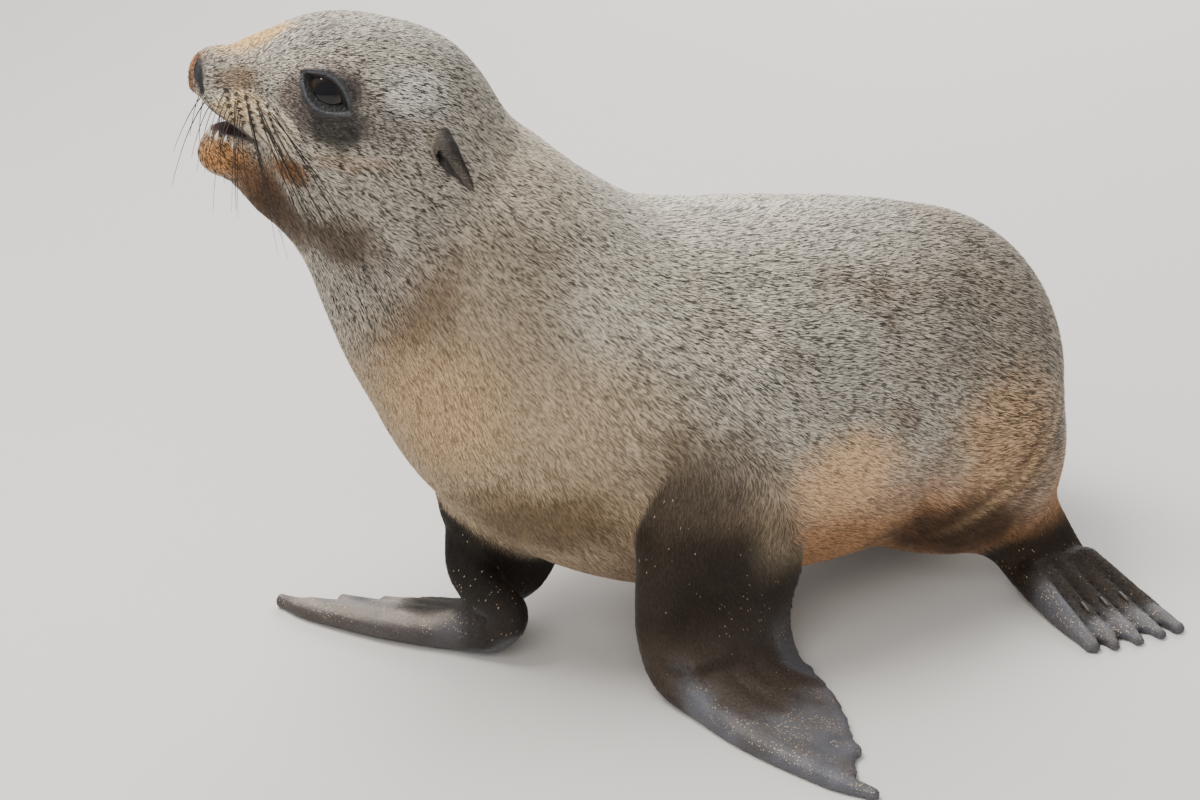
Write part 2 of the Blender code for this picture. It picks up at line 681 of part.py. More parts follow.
def thinned(made, faces):
    """the object's surface with fewer triangles, most of them where it bends"""
    modifier = made.modifiers.new("thin", "DECIMATE")
    modifier.use_collapse_triangulate = True
    modifier.ratio = faces / (2 * len(made.data.polygons))
    return applied(made)


def combined(made, other, operation):
    """a Boolean of two objects; the second one is used up"""
    modifier = made.modifiers.new("combine", "BOOLEAN")
    modifier.operation = operation
    modifier.solver = "EXACT"
    modifier.object = other
    applied(made)
    bpy.data.objects.remove(other, do_unlink=True)
    return made


def slab(centre, normal, upright, half_up, half_side, thick=GAP):
    """a thin cutting box across a normal, with its long side along upright"""
    normal = Vector(normal).normalized()
    upright = Vector(upright)
    upright = (upright - normal * upright.dot(normal)).normalized()
    side = upright.cross(normal)
    shape = bmesh.new()
    bmesh.ops.create_cube(shape, size=1)
    turn = Matrix((side, upright, normal)).transposed().to_4x4()
    size = Matrix.Diagonal((2 * half_side, 2 * half_up, thick, 1))
    bmesh.ops.transform(shape, matrix=Matrix.Translation(centre) @ turn @ size,
                        verts=shape.verts)
    return object_from_bmesh("cutter", shape)


def ball(name, centre, radius, steps):
    shape = bmesh.new()
    bmesh.ops.create_icosphere(shape, subdivisions=steps, radius=radius,
                               matrix=Matrix.Translation(centre))
    return object_from_bmesh(name, shape)


def cone(name, base, tip, radius, sides=6, blunt=0.2):
    base = Vector(base)
    tip = Vector(tip)
    shape = bmesh.new()
    turn = (tip - base).to_track_quat("Z", "Y").to_matrix().to_4x4()
    bmesh.ops.create_cone(shape, cap_ends=True, cap_tris=True, segments=sides, radius1=radius,
                          radius2=radius * blunt, depth=(tip - base).length,
                          matrix=Matrix.Translation((base + tip) / 2) @ turn)
    return object_from_bmesh(name, shape)


def stepped_axis(start, stop, fine_ranges, block=8):
    """grid coordinates, closer together within the fine ranges"""
    places = [start]
    while places[-1] < stop or (len(places) - 1) % block:
        inside = any(low <= places[-1] < high for low, high in fine_ranges)
        places.append(places[-1] + (FINE if inside else COARSE))
    return np.array(places)


def whole_animal():
    """the smooth solid as a mesh, thinned out and flat on the floor"""
    axes = [stepped_axis(-0.17, 0.24, [(-0.10, 0.06)]),
            stepped_axis(-0.23, 0.30, [(-0.23, -0.06)]),
            stepped_axis(-0.016, 0.345, [(-0.016, 0.02), (0.22, 0.345)])]
    vertices, quads = surface_mesh(body_field, axes)
    vertices = settle(body_field, vertices, 2, 0.001)
    made = object_from("animal", vertices, quads)
    thinned(made, BODY_FACES)
    ground = slab((0.04, 0.04, -0.05), (0, 0, 1), (0, 1, 0), 0.4, 0.4, thick=0.1)
    return combined(made, ground, "DIFFERENCE")


def ear_object(side):
    """one ear, left for side 1 and right for side -1"""
    row = np.array(EAR)
    corners = np.array([head_to_body((x, side * y, z)) for x, y, z in row[:, :3]])
    low = corners.min(0) - 0.010
    count = np.ceil((corners.max(0) + 0.010 - low) / 0.0006 / 8).astype(int) * 8
    axes = [low[k] + 0.0006 * np.arange(count[k] + 1) for k in range(3)]
    vertices, quads = surface_mesh(ear_field, axes)
    return thinned(object_from("ear", vertices, quads), EAR_FACES)


def tooth(place, side):
    ahead, left, height, radius = place
    base = head_to_body((ahead, side * left, GUM_HEIGHT - 0.15))
    tip = head_to_body((ahead + 0.05, side * left, GUM_HEIGHT + height))
    return cone("tooth", base, tip, radius * 0.01)


def tangent_cut(rows, host, offset, half_up, half_side):
    """a slab at the place where a limb's middle line leaves its host, along the host's surface"""
    line = curve_rows(np.array(rows, float), 40)[:, :3].astype(FLOAT)
    outside = host(line) > offset
    place = line[np.argmax(outside)]
    normal = slopes(host, place[None])[0]
    return slab(place, normal, (0.02, 1, 0.01), half_up, half_side)


def hip_field(points):
    """trunk and hips"""
    value = BODY_FORM.field(points)
    for centre, radii in HIPS:
        value = smooth_min(value, Ellipsoid(centre, radii).field(points), FLOAT(0.02))
    return value


def add_cuts(made):
    """thin cuts between the parts of the body"""
    left = HEAD_AXES[1]
    first, second = [np.array(head_to_body((x, 0, z))) for x, z in JAW_CUT]
    along = second - first
    combined(made, slab((first + second) / 2, np.cross(along, left), along,
                        np.linalg.norm(along) / 2, 0.04), "DIFFERENCE")
    centre, normal = NECK_CUT
    normal = np.array(normal) @ HEAD_AXES
    combined(made, slab(head_to_body(centre), normal, (0, 0, 1), 0.095, 0.095), "DIFFERENCE")
    combined(made, slab(*CHEST_CUT, (0, 1, 1), 0.135, 0.125), "DIFFERENCE")
    combined(made, slab(*LOIN_CUT, (0, 0, 1), 0.135, 0.125), "DIFFERENCE")
    for rows, wrist in ((LEFT_ARM, LEFT_WRIST_CUT), (RIGHT_ARM, RIGHT_WRIST_CUT)):
        combined(made, tangent_cut(rows, BODY_FORM.field, ROOT_OFFSET, 0.066, 0.058),
                 "DIFFERENCE")
        combined(made, slab(wrist[:3], (0, 0, 1), (0, 1, 0), *wrist[3:]), "DIFFERENCE")
    for side in (1, -1):
        rows = [(side * row[0], *row[1:]) for row in ANKLE]
        combined(made, tangent_cut(rows, hip_field, 0.003, 0.050, 0.038), "DIFFERENCE")
        heading = HIND_HEADING if side > 0 else 180 - HIND_HEADING
        out, back = floor_axes(heading)
        place = np.array([side * HIND_START[0], HIND_START[1], 0.0]) + out * FOOT_CUT
        combined(made, slab(place, out, back, 0.050, 0.030), "DIFFERENCE")
    combined(made, tangent_cut(TAIL, BODY_FORM.field, 0.002, 0.030, 0.030), "DIFFERENCE")
    for side in (1, -1):
        rows = [(row[0], side * row[1], row[2]) for row in EAR[:3]]
        rows = [(*head_to_body(row), 0, 0, 0) for row in rows]
        combined(made, tangent_cut(rows, body_field, 0.0022, 0.021, 0.021), "DIFFERENCE")


def loose_parts(made):
    """the separate bodies of a mesh, each as its own object"""
    whole = bmesh.new()
    whole.from_mesh(made.data)
    bmesh.ops.remove_doubles(whole, verts=whole.verts, dist=0.00001)
    bmesh.ops.dissolve_degenerate(whole, edges=whole.edges, dist=0.00001)
    bmesh.ops.triangulate(whole, faces=whole.faces)
    left = set(whole.verts)
    parts = []
    while left:
        group = {left.pop()}
        front = list(group)
        while front:
            for edge in front.pop().link_edges:
                for vertex in edge.verts:
                    if vertex in left:
                        left.discard(vertex)
                        group.add(vertex)
                        front.append(vertex)
        order = {vertex: i for i, vertex in enumerate(sorted(group, key=lambda v: v.index))}
        faces = [[order[v] for v in face.verts] for face in whole.faces
                 if face.verts[0] in group]
        if len(faces) > CHIP_FACES:
            parts.append(([tuple(v.co) for v in order], faces))
    whole.free()
    bpy.data.objects.remove(made, do_unlink=True)
    return parts


def part_places():
    """a place inside each part, by name"""
    places = {"head": head_to_body((-1, 0, 1)), "jaw": head_to_body((6.5, 0, -2.2)),
              "neck": np.array((-0.004, -0.060, 0.200)), "trunk": np.array((0, 0.06, 0.12)),
              "hindquarters": np.array((0, 0.20, 0.09)),
              "tail": np.array(TAIL[1][:3])}
    for side, name, wrist in ((1, "left", LEFT_WRIST), (-1, "right", RIGHT_WRIST)):
        rows = LEFT_ARM if side > 0 else RIGHT_ARM
        places["forearm_" + name] = np.array(rows[3][:3])
        places["fore_flipper_" + name] = np.array((*wrist, 0.008))
        x, y, z = ANKLE[2][:3]
        places["hind_leg_" + name] = np.array((side * (x + 0.004), y, z - 0.006))
        places["hind_flipper_" + name] = np.array((side * 0.11, 0.228, 0.004))
        x, y, z = EAR[3][:3]
        places["ear_" + name] = head_to_body((x, side * y, z))
    return places


def named_parts(parts):
    """each part as an object, named by the place it is nearest to"""
    trees = [BVHTree.FromPolygons(points, faces) for points, faces in parts]
    made = {}
    taken = {}
    for name, place in part_places().items():
        far = [tree.find_nearest(Vector(place))[3] for tree in trees]
        inside = [is_inside(tree, place) for tree in trees]
        best = inside.index(True) if True in inside else int(np.argmin(far))
        if best in taken:
            raise ValueError(name + " and " + taken[best] + " are one body")
        taken[best] = name
        made[name] = object_from(name, *parts[best])
    if len(taken) != len(parts):
        sizes = [len(faces) for i, (_, faces) in enumerate(parts) if i not in taken]
        raise ValueError("parts without a name: " + str(sizes))
    return made


def is_inside(tree, place):
    """whether a closed surface holds a place"""
    start = Vector(place)
    way = Vector((0.137, 0.211, 0.968))
    count = 0
    while count < 50:
        hit, _, _, _ = tree.ray_cast(start, way)
        if hit is None:
            break
        count += 1
        start = hit + way * 0.00001
    return count % 2 == 1


def claws(flipper, side):
    """three claws lying on the middle digits of a hind flipper"""
    heading = HIND_HEADING if side > 0 else 180 - HIND_HEADING
    out, back = floor_axes(heading)
    start = np.array([side * HIND_START[0], HIND_START[1], 0.0])
    mesh = flipper.data
    tree = BVHTree.FromPolygons([v.co.copy() for v in mesh.vertices],
                                [tuple(p.vertices) for p in mesh.polygons])
    made = []
    for digit in (1, 2, 3):
        base, tip = TOES[digit][:2]
        ends = []
        for far in (CLAW_PLACE, CLAW_PLACE + CLAW_LENGTH):
            part = far / TOES[digit][2]
            place = start + out * far + back * (base * (1 - part) + tip * part)
            hits = [tree.ray_cast(Vector((*(place[:2] + back[:2] * step), 0.1)),
                                  Vector((0, 0, -1)))[0].z for step in (-0.0014, 0, 0.0014)]
            ends.append(Vector((place[0], place[1], max(hits))))
        lift = Vector((0, 0, CLAW_RADIUS + GAP + 0.0002))
        made.append(cone("claw_%s_%d" % ("left" if side > 0 else "right", digit + 1),
                         ends[0] + lift, ends[1] + lift + Vector((0, 0, 0.0002)),
                         CLAW_RADIUS, 8, 0.3))
    return made


def main():
    clear_scene()
    animal = whole_animal()
    for side in (1, -1):
        combined(animal, ear_object(side), "UNION")
        for place in TEETH:
            combined(animal, tooth(place, side), "UNION")
        x, y, z = EYE
        socket = ball("socket", head_to_body((x, side * y, z)), EYE_RADIUS * 0.01 + GAP,
                      EYE_STEPS)
        combined(animal, socket, "DIFFERENCE")
    add_cuts(animal)
    parts = named_parts(loose_parts(animal))
    for side, name in ((1, "left"), (-1, "right")):
        x, y, z = EYE
        eye = ball("eye_" + name, head_to_body((x, side * y, z)), EYE_RADIUS * 0.01, EYE_STEPS)
        parts[eye.name] = eye
        for claw in claws(parts["hind_flipper_" + name], side):
            parts[claw.name] = claw
    looks = {"silver": material("fur_silver", FUR_SILVER, 0.85),
             "tan": material("fur_tan", FUR_TAN, 0.85),
             "dark": material("fur_dark", FUR_DARK, 0.6),
             "eye": material("eye_black", EYE_BLACK, 0.08),
             "claw": material("claw_horn", CLAW_HORN, 0.4)}
    corners = np.array([v.co for made in parts.values() for v in made.data.vertices])
    middle = (corners.min(0) + corners.max(0)) / 2
    shift = Matrix.Translation((-middle[0], -middle[1], 0))
    for name, made in parts.items():
        made.data.transform(shift)
        look = "silver"
        if "flipper" in name or "forearm" in name or "leg" in name or "ear" in name:
            look = "dark"
        if name in ("jaw", "hindquarters", "tail"):
            look = "tan"
        if name.startswith(("eye", "claw")):
            look = name.split("_")[0]
        made.data.materials.clear()
        made.data.materials.append(looks[look])
        made.data.shade_smooth()
        made.data.set_sharp_from_angle(angle=np.radians(50))


main()
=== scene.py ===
"""A young fur seal, life size, standing on its flippers with its head raised.

One skin lies inside the solids by the depth of the coat, and small folds, lids and nostrils
are part of it. The coat is short tufts of four triangles each that follow the lie of the fur.
Skin and coat take their colours from the same markings. Places on the body are metres; places
on the head are centimetres from the middle of the brain case: forward, left, up."""

import json
from concurrent.futures import ThreadPoolExecutor

import bpy
import numpy as np
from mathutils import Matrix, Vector

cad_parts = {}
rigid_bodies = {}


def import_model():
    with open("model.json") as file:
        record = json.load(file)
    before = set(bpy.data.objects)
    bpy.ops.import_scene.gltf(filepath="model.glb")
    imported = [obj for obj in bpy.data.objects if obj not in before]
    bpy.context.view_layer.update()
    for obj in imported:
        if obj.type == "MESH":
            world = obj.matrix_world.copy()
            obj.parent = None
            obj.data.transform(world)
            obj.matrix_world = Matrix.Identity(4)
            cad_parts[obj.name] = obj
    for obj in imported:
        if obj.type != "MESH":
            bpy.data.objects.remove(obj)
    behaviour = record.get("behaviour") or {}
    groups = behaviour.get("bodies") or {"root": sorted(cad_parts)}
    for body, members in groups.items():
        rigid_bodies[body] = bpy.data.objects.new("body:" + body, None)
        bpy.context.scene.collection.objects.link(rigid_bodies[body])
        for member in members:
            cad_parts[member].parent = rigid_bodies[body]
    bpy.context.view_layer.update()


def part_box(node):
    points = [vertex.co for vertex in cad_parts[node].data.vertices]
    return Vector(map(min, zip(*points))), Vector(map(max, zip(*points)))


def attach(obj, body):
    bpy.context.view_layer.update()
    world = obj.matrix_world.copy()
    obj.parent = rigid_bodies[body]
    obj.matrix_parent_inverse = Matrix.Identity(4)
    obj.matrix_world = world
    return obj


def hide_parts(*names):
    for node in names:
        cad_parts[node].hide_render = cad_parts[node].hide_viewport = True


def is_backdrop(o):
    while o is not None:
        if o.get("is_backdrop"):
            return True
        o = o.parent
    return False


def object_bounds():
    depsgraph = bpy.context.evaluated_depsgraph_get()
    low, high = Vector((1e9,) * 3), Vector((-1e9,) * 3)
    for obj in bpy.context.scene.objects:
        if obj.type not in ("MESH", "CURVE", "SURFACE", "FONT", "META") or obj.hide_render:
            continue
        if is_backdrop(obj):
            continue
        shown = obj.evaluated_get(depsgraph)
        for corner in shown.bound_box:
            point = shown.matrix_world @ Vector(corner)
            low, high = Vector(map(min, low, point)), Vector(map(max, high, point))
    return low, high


HEAD_STEP = 0.0008      # spacing of the skin's grid on the head
BODY_STEP = 0.0026
TUFT_SHARE = 1.0
BLOCK = 4          # the grid is first looked over in cubes of so many cells
BATCH = 30000      # points worked out at a time
THREADS = 4
FLOAT = np.float32
MARGIN = 0.03      # a form is only worked out this near to its own box
CURVE_PARTS = 12   # steps between two rows of a sweep
CURVE_TURNS = 3    # how often the nearest place on a curve is looked for again
TIGHTEST = 0.35    # shortest way inside a bend that counts, as a share of the curve's own way
SLOPE_STEP = 0.0003
MOST_SETTLED = 0.0006
TINY = 1e-9


def ramp(value, start, stop):
    """0 up to start, 1 from stop on, smooth between them"""
    part = np.clip((value - start) / (stop - start), 0, 1)
    return part * part * (3 - 2 * part)


def fade(value, start, stop):
    """1 up to start, 0 from stop on, smooth between them"""
    return 1 - ramp(value, start, stop)


def ridge(value, middle, width):
    """1 where the value is middle, fading out over width"""
    return np.exp(-((value - middle) / width) ** 2)


def unit(vector):
    """the vector at length one"""
    vector = np.asarray(vector, float)
    return vector / np.linalg.norm(vector)


def unit_rows(rows):
    """each row at length one"""
    return rows / np.maximum(np.linalg.norm(rows, axis=1, keepdims=True), TINY)


def smooth_min(first, second, blend):
    """union of two fields with a fillet about as wide as blend"""
    share = np.clip(0.5 + 0.5 * (second - first) / blend, 0, 1)
    return second + (first - second) * share - blend * share * (1 - share)


def smooth_max(first, second, blend):
    """the part that two fields share, with a rounded edge"""
    return -smooth_min(-first, -second, blend)


def outside_box(points, low, high):
    """distance from the points to a box"""
    away = np.maximum(np.maximum(low - points, points - high), 0)
    return np.sqrt((away ** 2).sum(1))


def near_only(form, points, margin):
    """a form's field near its own box, and the distance to the box further off"""
    value = outside_box(points, form.low, form.high)
    close = value < margin
    if close.any():
        value[close] = form.field(points[close])
    return value


class Ellipsoid:
    """a rounded mass, turned so that its first axis lies along aim"""

    def __init__(self, centre, radii, aim=None):
        self.centre = np.asarray(centre, FLOAT)
        self.radii = np.asarray(radii, FLOAT)
        self.axes = None
        if aim is not None:
            first = unit(aim)
            second = unit(np.cross((0, 0, 1), first))
            self.axes = np.array([first, second, np.cross(first, second)], FLOAT)
        size = self.radii if aim is None else self.radii.max()
        self.low = self.centre - size
        self.high = self.centre + size

    def field(self, points):
        local = points - self.centre
        if self.axes is not None:
            local = local @ self.axes.T
        near = np.sqrt(((local / self.radii) ** 2).sum(1))
        steep = np.sqrt(((local / self.radii ** 2) ** 2).sum(1)) + TINY
        return near * (near - 1) / steep


def curve_rows(rows):
    """rows of numbers read from a smooth curve through the given rows"""
    rows = np.asarray(rows, float)
    ends = np.vstack([2 * rows[0] - rows[1], rows, 2 * rows[-1] - rows[-2]])
    ends[0, 3:] = rows[1, 3:]
    ends[-1, 3:] = rows[-2, 3:]
    out = []
    for i in range(len(rows) - 1):
        a, b, c, d = ends[i:i + 4]
        for t in np.arange(CURVE_PARTS) / CURVE_PARTS:
            out.append(0.5 * (2 * b + (c - a) * t + (2 * a - 5 * b + 4 * c - d) * t * t
                              + (3 * b - a - 3 * c + d) * t ** 3))
    out.append(rows[-1])
    return np.array(out)


class Sweep:
    """an oval section swept along a curve; each row is x, y, z, half width, up, down"""

    def __init__(self, rows, side, step=0.004, blunt=1.0, lead=0.0):
        rows = np.asarray(rows, float)
        side = np.asarray(side, float)
        if side.ndim == 1:
            side = np.tile(side, (len(rows), 1))
        fine = curve_rows(np.hstack([rows, side]))
        run = np.linalg.norm(np.diff(fine[:, :3], axis=0), axis=1)
        run = np.concatenate([[0], np.cumsum(run)])
        self.count = max(4, int(round(run[-1] / step)))
        self.step = run[-1] / self.count
        self.blunt = blunt
        self.lead = lead
        at = np.linspace(0, run[-1], self.count + 1)
        even = np.stack([np.interp(at, run, column) for column in fine.T], 1)
        middle = even[:, :3]
        along = np.gradient(middle, axis=0)
        along /= np.linalg.norm(along, axis=1, keepdims=True)
        across = even[:, 6:9]
        across = across - along * (across * along).sum(1, keepdims=True)
        across /= np.linalg.norm(across, axis=1, keepdims=True)
        up = np.cross(across, along)
        bend = np.gradient(along, axis=0) / self.step
        self.middle = middle.astype(FLOAT)
        self.table = np.hstack([middle, along, across, up, even[:, 3:6], bend]).astype(FLOAT)
        size = even[:, 3:6].max(1, keepdims=True) * max(1, blunt) * (1 + lead)
        self.low = (middle - size).min(0).astype(FLOAT)
        self.high = (middle + size).max(0).astype(FLOAT)

    def station(self, place):
        """the table's row at a place along the curve"""
        row = np.minimum(place.astype(int), self.count - 1)
        part = (place - row)[:, None].astype(FLOAT)
        return self.table[row] * (1 - part) + self.table[row + 1] * part

    def local(self, points):
        """place along the curve, then the point's sideways, upward and lengthways offsets"""
        far = (self.middle ** 2).sum(1) - 2 * (points @ self.middle.T)
        place = far.argmin(1).astype(FLOAT)
        for _ in range(CURVE_TURNS):
            row = self.station(place)
            offset = points - row[:, :3]
            ahead = (offset * row[:, 3:6]).sum(1)
            curl = np.maximum(1 - (offset * row[:, 15:18]).sum(1), TIGHTEST)
            place = np.clip(place + ahead / self.step / curl, 0, self.count)
        row = self.station(place)
        offset = points - row[:, :3]
        return (place, row, (offset * row[:, 6:9]).sum(1), (offset * row[:, 9:12]).sum(1),
                (offset * row[:, 3:6]).sum(1))

    def field(self, points):
        place, row, across, up, ahead = self.local(points)
        wide = row[:, 12]
        tall = np.where(up > 0, row[:, 13], row[:, 14])
        tall = tall * (1 + self.lead * np.clip(across / wide, -1, 1))
        cap = np.minimum(wide, (row[:, 13] + row[:, 14]) / 2) * self.blunt
        ahead = np.where((place <= 0) | (place >= self.count), ahead, 0)
        near = np.sqrt((across / wide) ** 2 + (up / tall) ** 2 + (ahead / cap) ** 2)
        steep = np.sqrt((across / wide ** 2) ** 2 + (up / tall ** 2) ** 2
                        + (ahead / cap ** 2) ** 2) + TINY
        return near * (near - 1) / steep


def in_batches(field, points):
    """the field at many points, some batches at a time"""
    pieces = [points[start:start + BATCH] for start in range(0, len(points), BATCH)]
    with ThreadPoolExecutor(THREADS) as pool:
        return np.concatenate(list(pool.map(field, pieces))).astype(FLOAT)


def in_space(first, second, third):
    """every point with one coordinate from each of three lists"""
    return np.stack(np.meshgrid(first, second, third, indexing="ij"), -1).reshape(-1, 3)


def surface_mesh(field, axes):
    """vertices and quads where the field is zero, on a grid with the given coordinates"""
    edges = [axis[::BLOCK] for axis in axes]
    half = in_space(*[(edge[1:] - edge[:-1]) / 2 for edge in edges])
    centres = in_space(*[(edge[1:] + edge[:-1]) / 2 for edge in edges])
    coarse = in_batches(field, centres.astype(FLOAT))
    close = np.abs(coarse) < np.linalg.norm(half, axis=1) * 1.4
    blocks = [len(edge) - 1 for edge in edges]
    values = np.where(coarse < 0, -1, 1).astype(FLOAT).reshape(blocks)
    for k in range(3):
        values = np.repeat(values, BLOCK, k)
    values = np.pad(values, ((0, 1), (0, 1), (0, 1)), constant_values=1)
    steps = in_space(*[np.arange(BLOCK + 1)] * 3)
    places = np.argwhere(close.reshape(blocks))
    places = (places[:, None, :] * BLOCK + steps[None]).reshape(-1, 3)
    flat = np.unique(np.ravel_multi_index(places.T, values.shape))
    places = np.unravel_index(flat, values.shape)
    points = np.stack([axes[k][places[k]] for k in range(3)], 1).astype(FLOAT)
    values.reshape(-1)[flat] = in_batches(field, points)
    return joined_cells(values, axes)


def joined_cells(values, axes):
    """one vertex in each cell that the surface crosses, joined by quads (surface nets)"""
    inside = values < 0
    shape = np.array(values.shape)
    corners = in_space((0, 1), (0, 1), (0, 1))[:, ::-1]
    count = np.zeros(shape - 1, np.int8)
    for x, y, z in corners:
        count += inside[x:shape[0] - 1 + x, y:shape[1] - 1 + y, z:shape[2] - 1 + z]
    crossed = (count > 0) & (count < 8)
    number = np.full(shape - 1, -1, int)
    total = crossed.sum()
    number[crossed] = np.arange(total)
    cell = np.argwhere(crossed)
    sums = np.zeros((total, 3))
    hits = np.zeros(total)
    for corner in corners:
        for k in range(3):
            if corner[k]:
                continue
            other = corner.copy()
            other[k] = 1
            first = values[tuple((cell + corner).T)]
            second = values[tuple((cell + other).T)]
            cross = (first < 0) != (second < 0)
            part = np.where(cross, first / np.where(cross, first - second, 1), 0)
            place = np.tile(corner.astype(float), (total, 1))
            place[:, k] += part
            sums += place * cross[:, None]
            hits += cross
    place = cell + sums / hits[:, None]
    vertices = np.stack([np.interp(place[:, k], np.arange(shape[k]), axes[k])
                         for k in range(3)], 1)
    quads = []
    for k in range(3):
        first, second = [j for j in range(3) if j != k]
        before = np.take(inside, np.arange(shape[k] - 1), k)
        after = np.take(inside, np.arange(1, shape[k]), k)
        edge = np.argwhere(before != after)
        whole = ((edge[:, first] > 0) & (edge[:, second] > 0)
                 & (edge[:, first] < shape[first] - 1) & (edge[:, second] < shape[second] - 1))
        edge = edge[whole]
        flip = before[tuple(edge.T)]
        if k == 1:
            flip = ~flip
        ring = []
        for i, j in ((0, 0), (-1, 0), (-1, -1), (0, -1)):
            at = edge.copy()
            at[:, first] += i
            at[:, second] += j
            ring.append(number[tuple(at.T)])
        ring = np.stack(ring, 1)
        ring[~flip] = ring[~flip][:, ::-1]
        quads.append(ring)
    return vertices, np.vstack(quads)


def settled(field, points):
    """the points moved down the field's slope, onto the surface"""
    points = points.astype(FLOAT)
    slope = np.empty(points.shape, FLOAT)
    for k in range(3):
        shift = np.zeros(3, FLOAT)
        shift[k] = SLOPE_STEP
        slope[:, k] = (in_batches(field, points + shift)
                       - in_batches(field, points - shift)) / (2 * SLOPE_STEP)
    move = -(in_batches(field, points) / ((slope ** 2).sum(1) + 1e-6))[:, None] * slope
    length = np.linalg.norm(move, axis=1, keepdims=True)
    return points + move * np.minimum(1, MOST_SETTLED / np.maximum(length, TINY))


# ---- shape: x to the animal's left, y to its rear, z up, metres; the floor is z = 0 ----
# rows: x, y, z of the body's middle line, then half width, height above it, depth below it
BODY = [(-0.014, -0.124, 0.284, 0.034, 0.034, 0.034),
        (-0.012, -0.106, 0.260, 0.048, 0.048, 0.052),
        (-0.010, -0.084, 0.230, 0.061, 0.061, 0.070),
        (-0.004, -0.054, 0.194, 0.073, 0.069, 0.087),
        (0.000, -0.014, 0.154, 0.086, 0.083, 0.103),
        (0.000, 0.036, 0.126, 0.095, 0.094, 0.107),
        (0.000, 0.088, 0.112, 0.097, 0.099, 0.098),
        (0.000, 0.132, 0.102, 0.092, 0.102, 0.088),
        (0.000, 0.168, 0.092, 0.082, 0.103, 0.080)]
RUMP_BLUNT = 1.15
TAIL = [(0.000, 0.236, 0.064, 0.022, 0.014, 0.014),
        (0.000, 0.259, 0.044, 0.014, 0.009, 0.009),
        (0.000, 0.270, 0.023, 0.007, 0.005, 0.005)]
SHOULDERS = [((0.052, 0.046, 0.120), (0.046, 0.060, 0.060)),
             ((-0.050, 0.026, 0.118), (0.044, 0.058, 0.060))]
HIPS = [((0.040, 0.190, 0.066), (0.044, 0.054, 0.048)),
        ((-0.040, 0.190, 0.066), (0.044, 0.054, 0.048))]

# fore limbs: rows as above, from the shoulder to the wrist, with the chord's direction
LEFT_ARM = [(0.055, 0.060, 0.140, 0.040, 0.034, 0.034),
            (0.078, 0.036, 0.108, 0.041, 0.024, 0.028),
            (0.088, 0.0195, 0.076, 0.0375, 0.016, 0.019),
            (0.090, 0.0245, 0.046, 0.0445, 0.012, 0.013)]
LEFT_ARM_CHORD = [(0.15, -0.95, 0.25), (0.10, -0.97, 0.10), (0, -0.98, 0), (0, -0.98, 0)]
# each hand: wrist, degrees from the animal's left towards its rear, spread, reach
LEFT_HAND = (0.098, 0.022), 22.5, 0.88, 0.97
RIGHT_ARM = [(-0.058, 0.030, 0.140, 0.038, 0.034, 0.034),
             (-0.049, -0.011, 0.104, 0.039, 0.026, 0.027),
             (-0.031, -0.036, 0.070, 0.040, 0.018, 0.019),
             (-0.013, -0.047, 0.044, 0.043, 0.013, 0.013)]
RIGHT_ARM_CHORD = [(0.30, -0.95, 0.20), (0.30, -0.95, 0.10), (0.40, -0.90, 0), (0.55, -0.83, 0)]
RIGHT_HAND = (-0.004, -0.053), -143.0, 0.50, 0.93
# hand, seen from above: how far out from the wrist, how far back, height, half chord, up, down
PALM = [(0.002, 0.012, 0.022, 0.045, 0.009, 0.010),
        (0.016, 0.007, 0.0085, 0.041, 0.007, 0.009),
        (0.040, -0.001, 0.006, 0.036, 0.0062, 0.008),
        (0.064, -0.011, 0.0045, 0.027, 0.0058, 0.007),
        (0.084, -0.020, 0.004, 0.018, 0.0050, 0.006),
        (0.100, -0.028, 0.003, 0.009, 0.003, 0.005)]
HAND_FRONT = -0.032          # the digits close towards this line
LEADING = [(-0.020, -0.027, 0.028, 0.010, 0.010, 0.010),
           (-0.010, -0.0265, 0.012, 0.009, 0.009, 0.011),
           (0.016, -0.0290, 0.0075, 0.0085, 0.0068, 0.009),
           (0.038, -0.0330, 0.0065, 0.0085, 0.0060, 0.009),
           (0.062, -0.0355, 0.0055, 0.0075, 0.0052, 0.008),
           (0.100, -0.0355, 0.0042, 0.006, 0.0043, 0.0065),
           (0.121, -0.0325, 0.003, 0.0035, 0.003, 0.005)]
# digits two to five: base out and back, bend out and back, tip out and back, radius
DIGITS = [(0.006, -0.018, 0.045, -0.018, 0.090, -0.005, 0.0080),
          (0.006, -0.002, 0.040, 0.002, 0.068, 0.013, 0.0072),
          (0.006, 0.014, 0.030, 0.018, 0.049, 0.028, 0.0065),
          (0.004, 0.028, 0.014, 0.036, 0.024, 0.046, 0.0060)]

ARM_BLEND = 0.016            # fillets where a form joins what came before it, metres
LEADING_BLEND = 0.007
DIGIT_BLEND = 0.004
FOOT_BLEND = 0.012
ARM_LEAD = 0.35              # how much thicker the leading edge is than the middle
FOOT_LEAD = 0.20
EDGE_RADIUS = 0.011          # of the leading edge along the forearm
EDGE_INSET = 0.010
# of a digit at its base, bend and tip: height, then radii as shares of its own
FINGER = [(0.013, 1.0, 0.9, 1.0), (0.007, 0.8, 0.7, 1.0), (0.003, 0.45, 0.4, 0.7)]
TOE = [(0.013, 1.0, 0.9, 1.0), (0.0065, 0.85, 0.7, 1.0), (0.0028, 0.55, 0.35, 0.6)]
TOE_BASE = 0.020             # how far out the toes start and bend
TOE_BEND = 0.055

# hind limbs
ANKLE = [(0.038, 0.194, 0.068, 0.036, 0.030, 0.032),
         (0.050, 0.212, 0.042, 0.028, 0.018, 0.022),
         (0.058, 0.222, 0.024, 0.026, 0.011, 0.014)]
HIND_START = (0.058, 0.226)
HIND_HEADING = 4.0
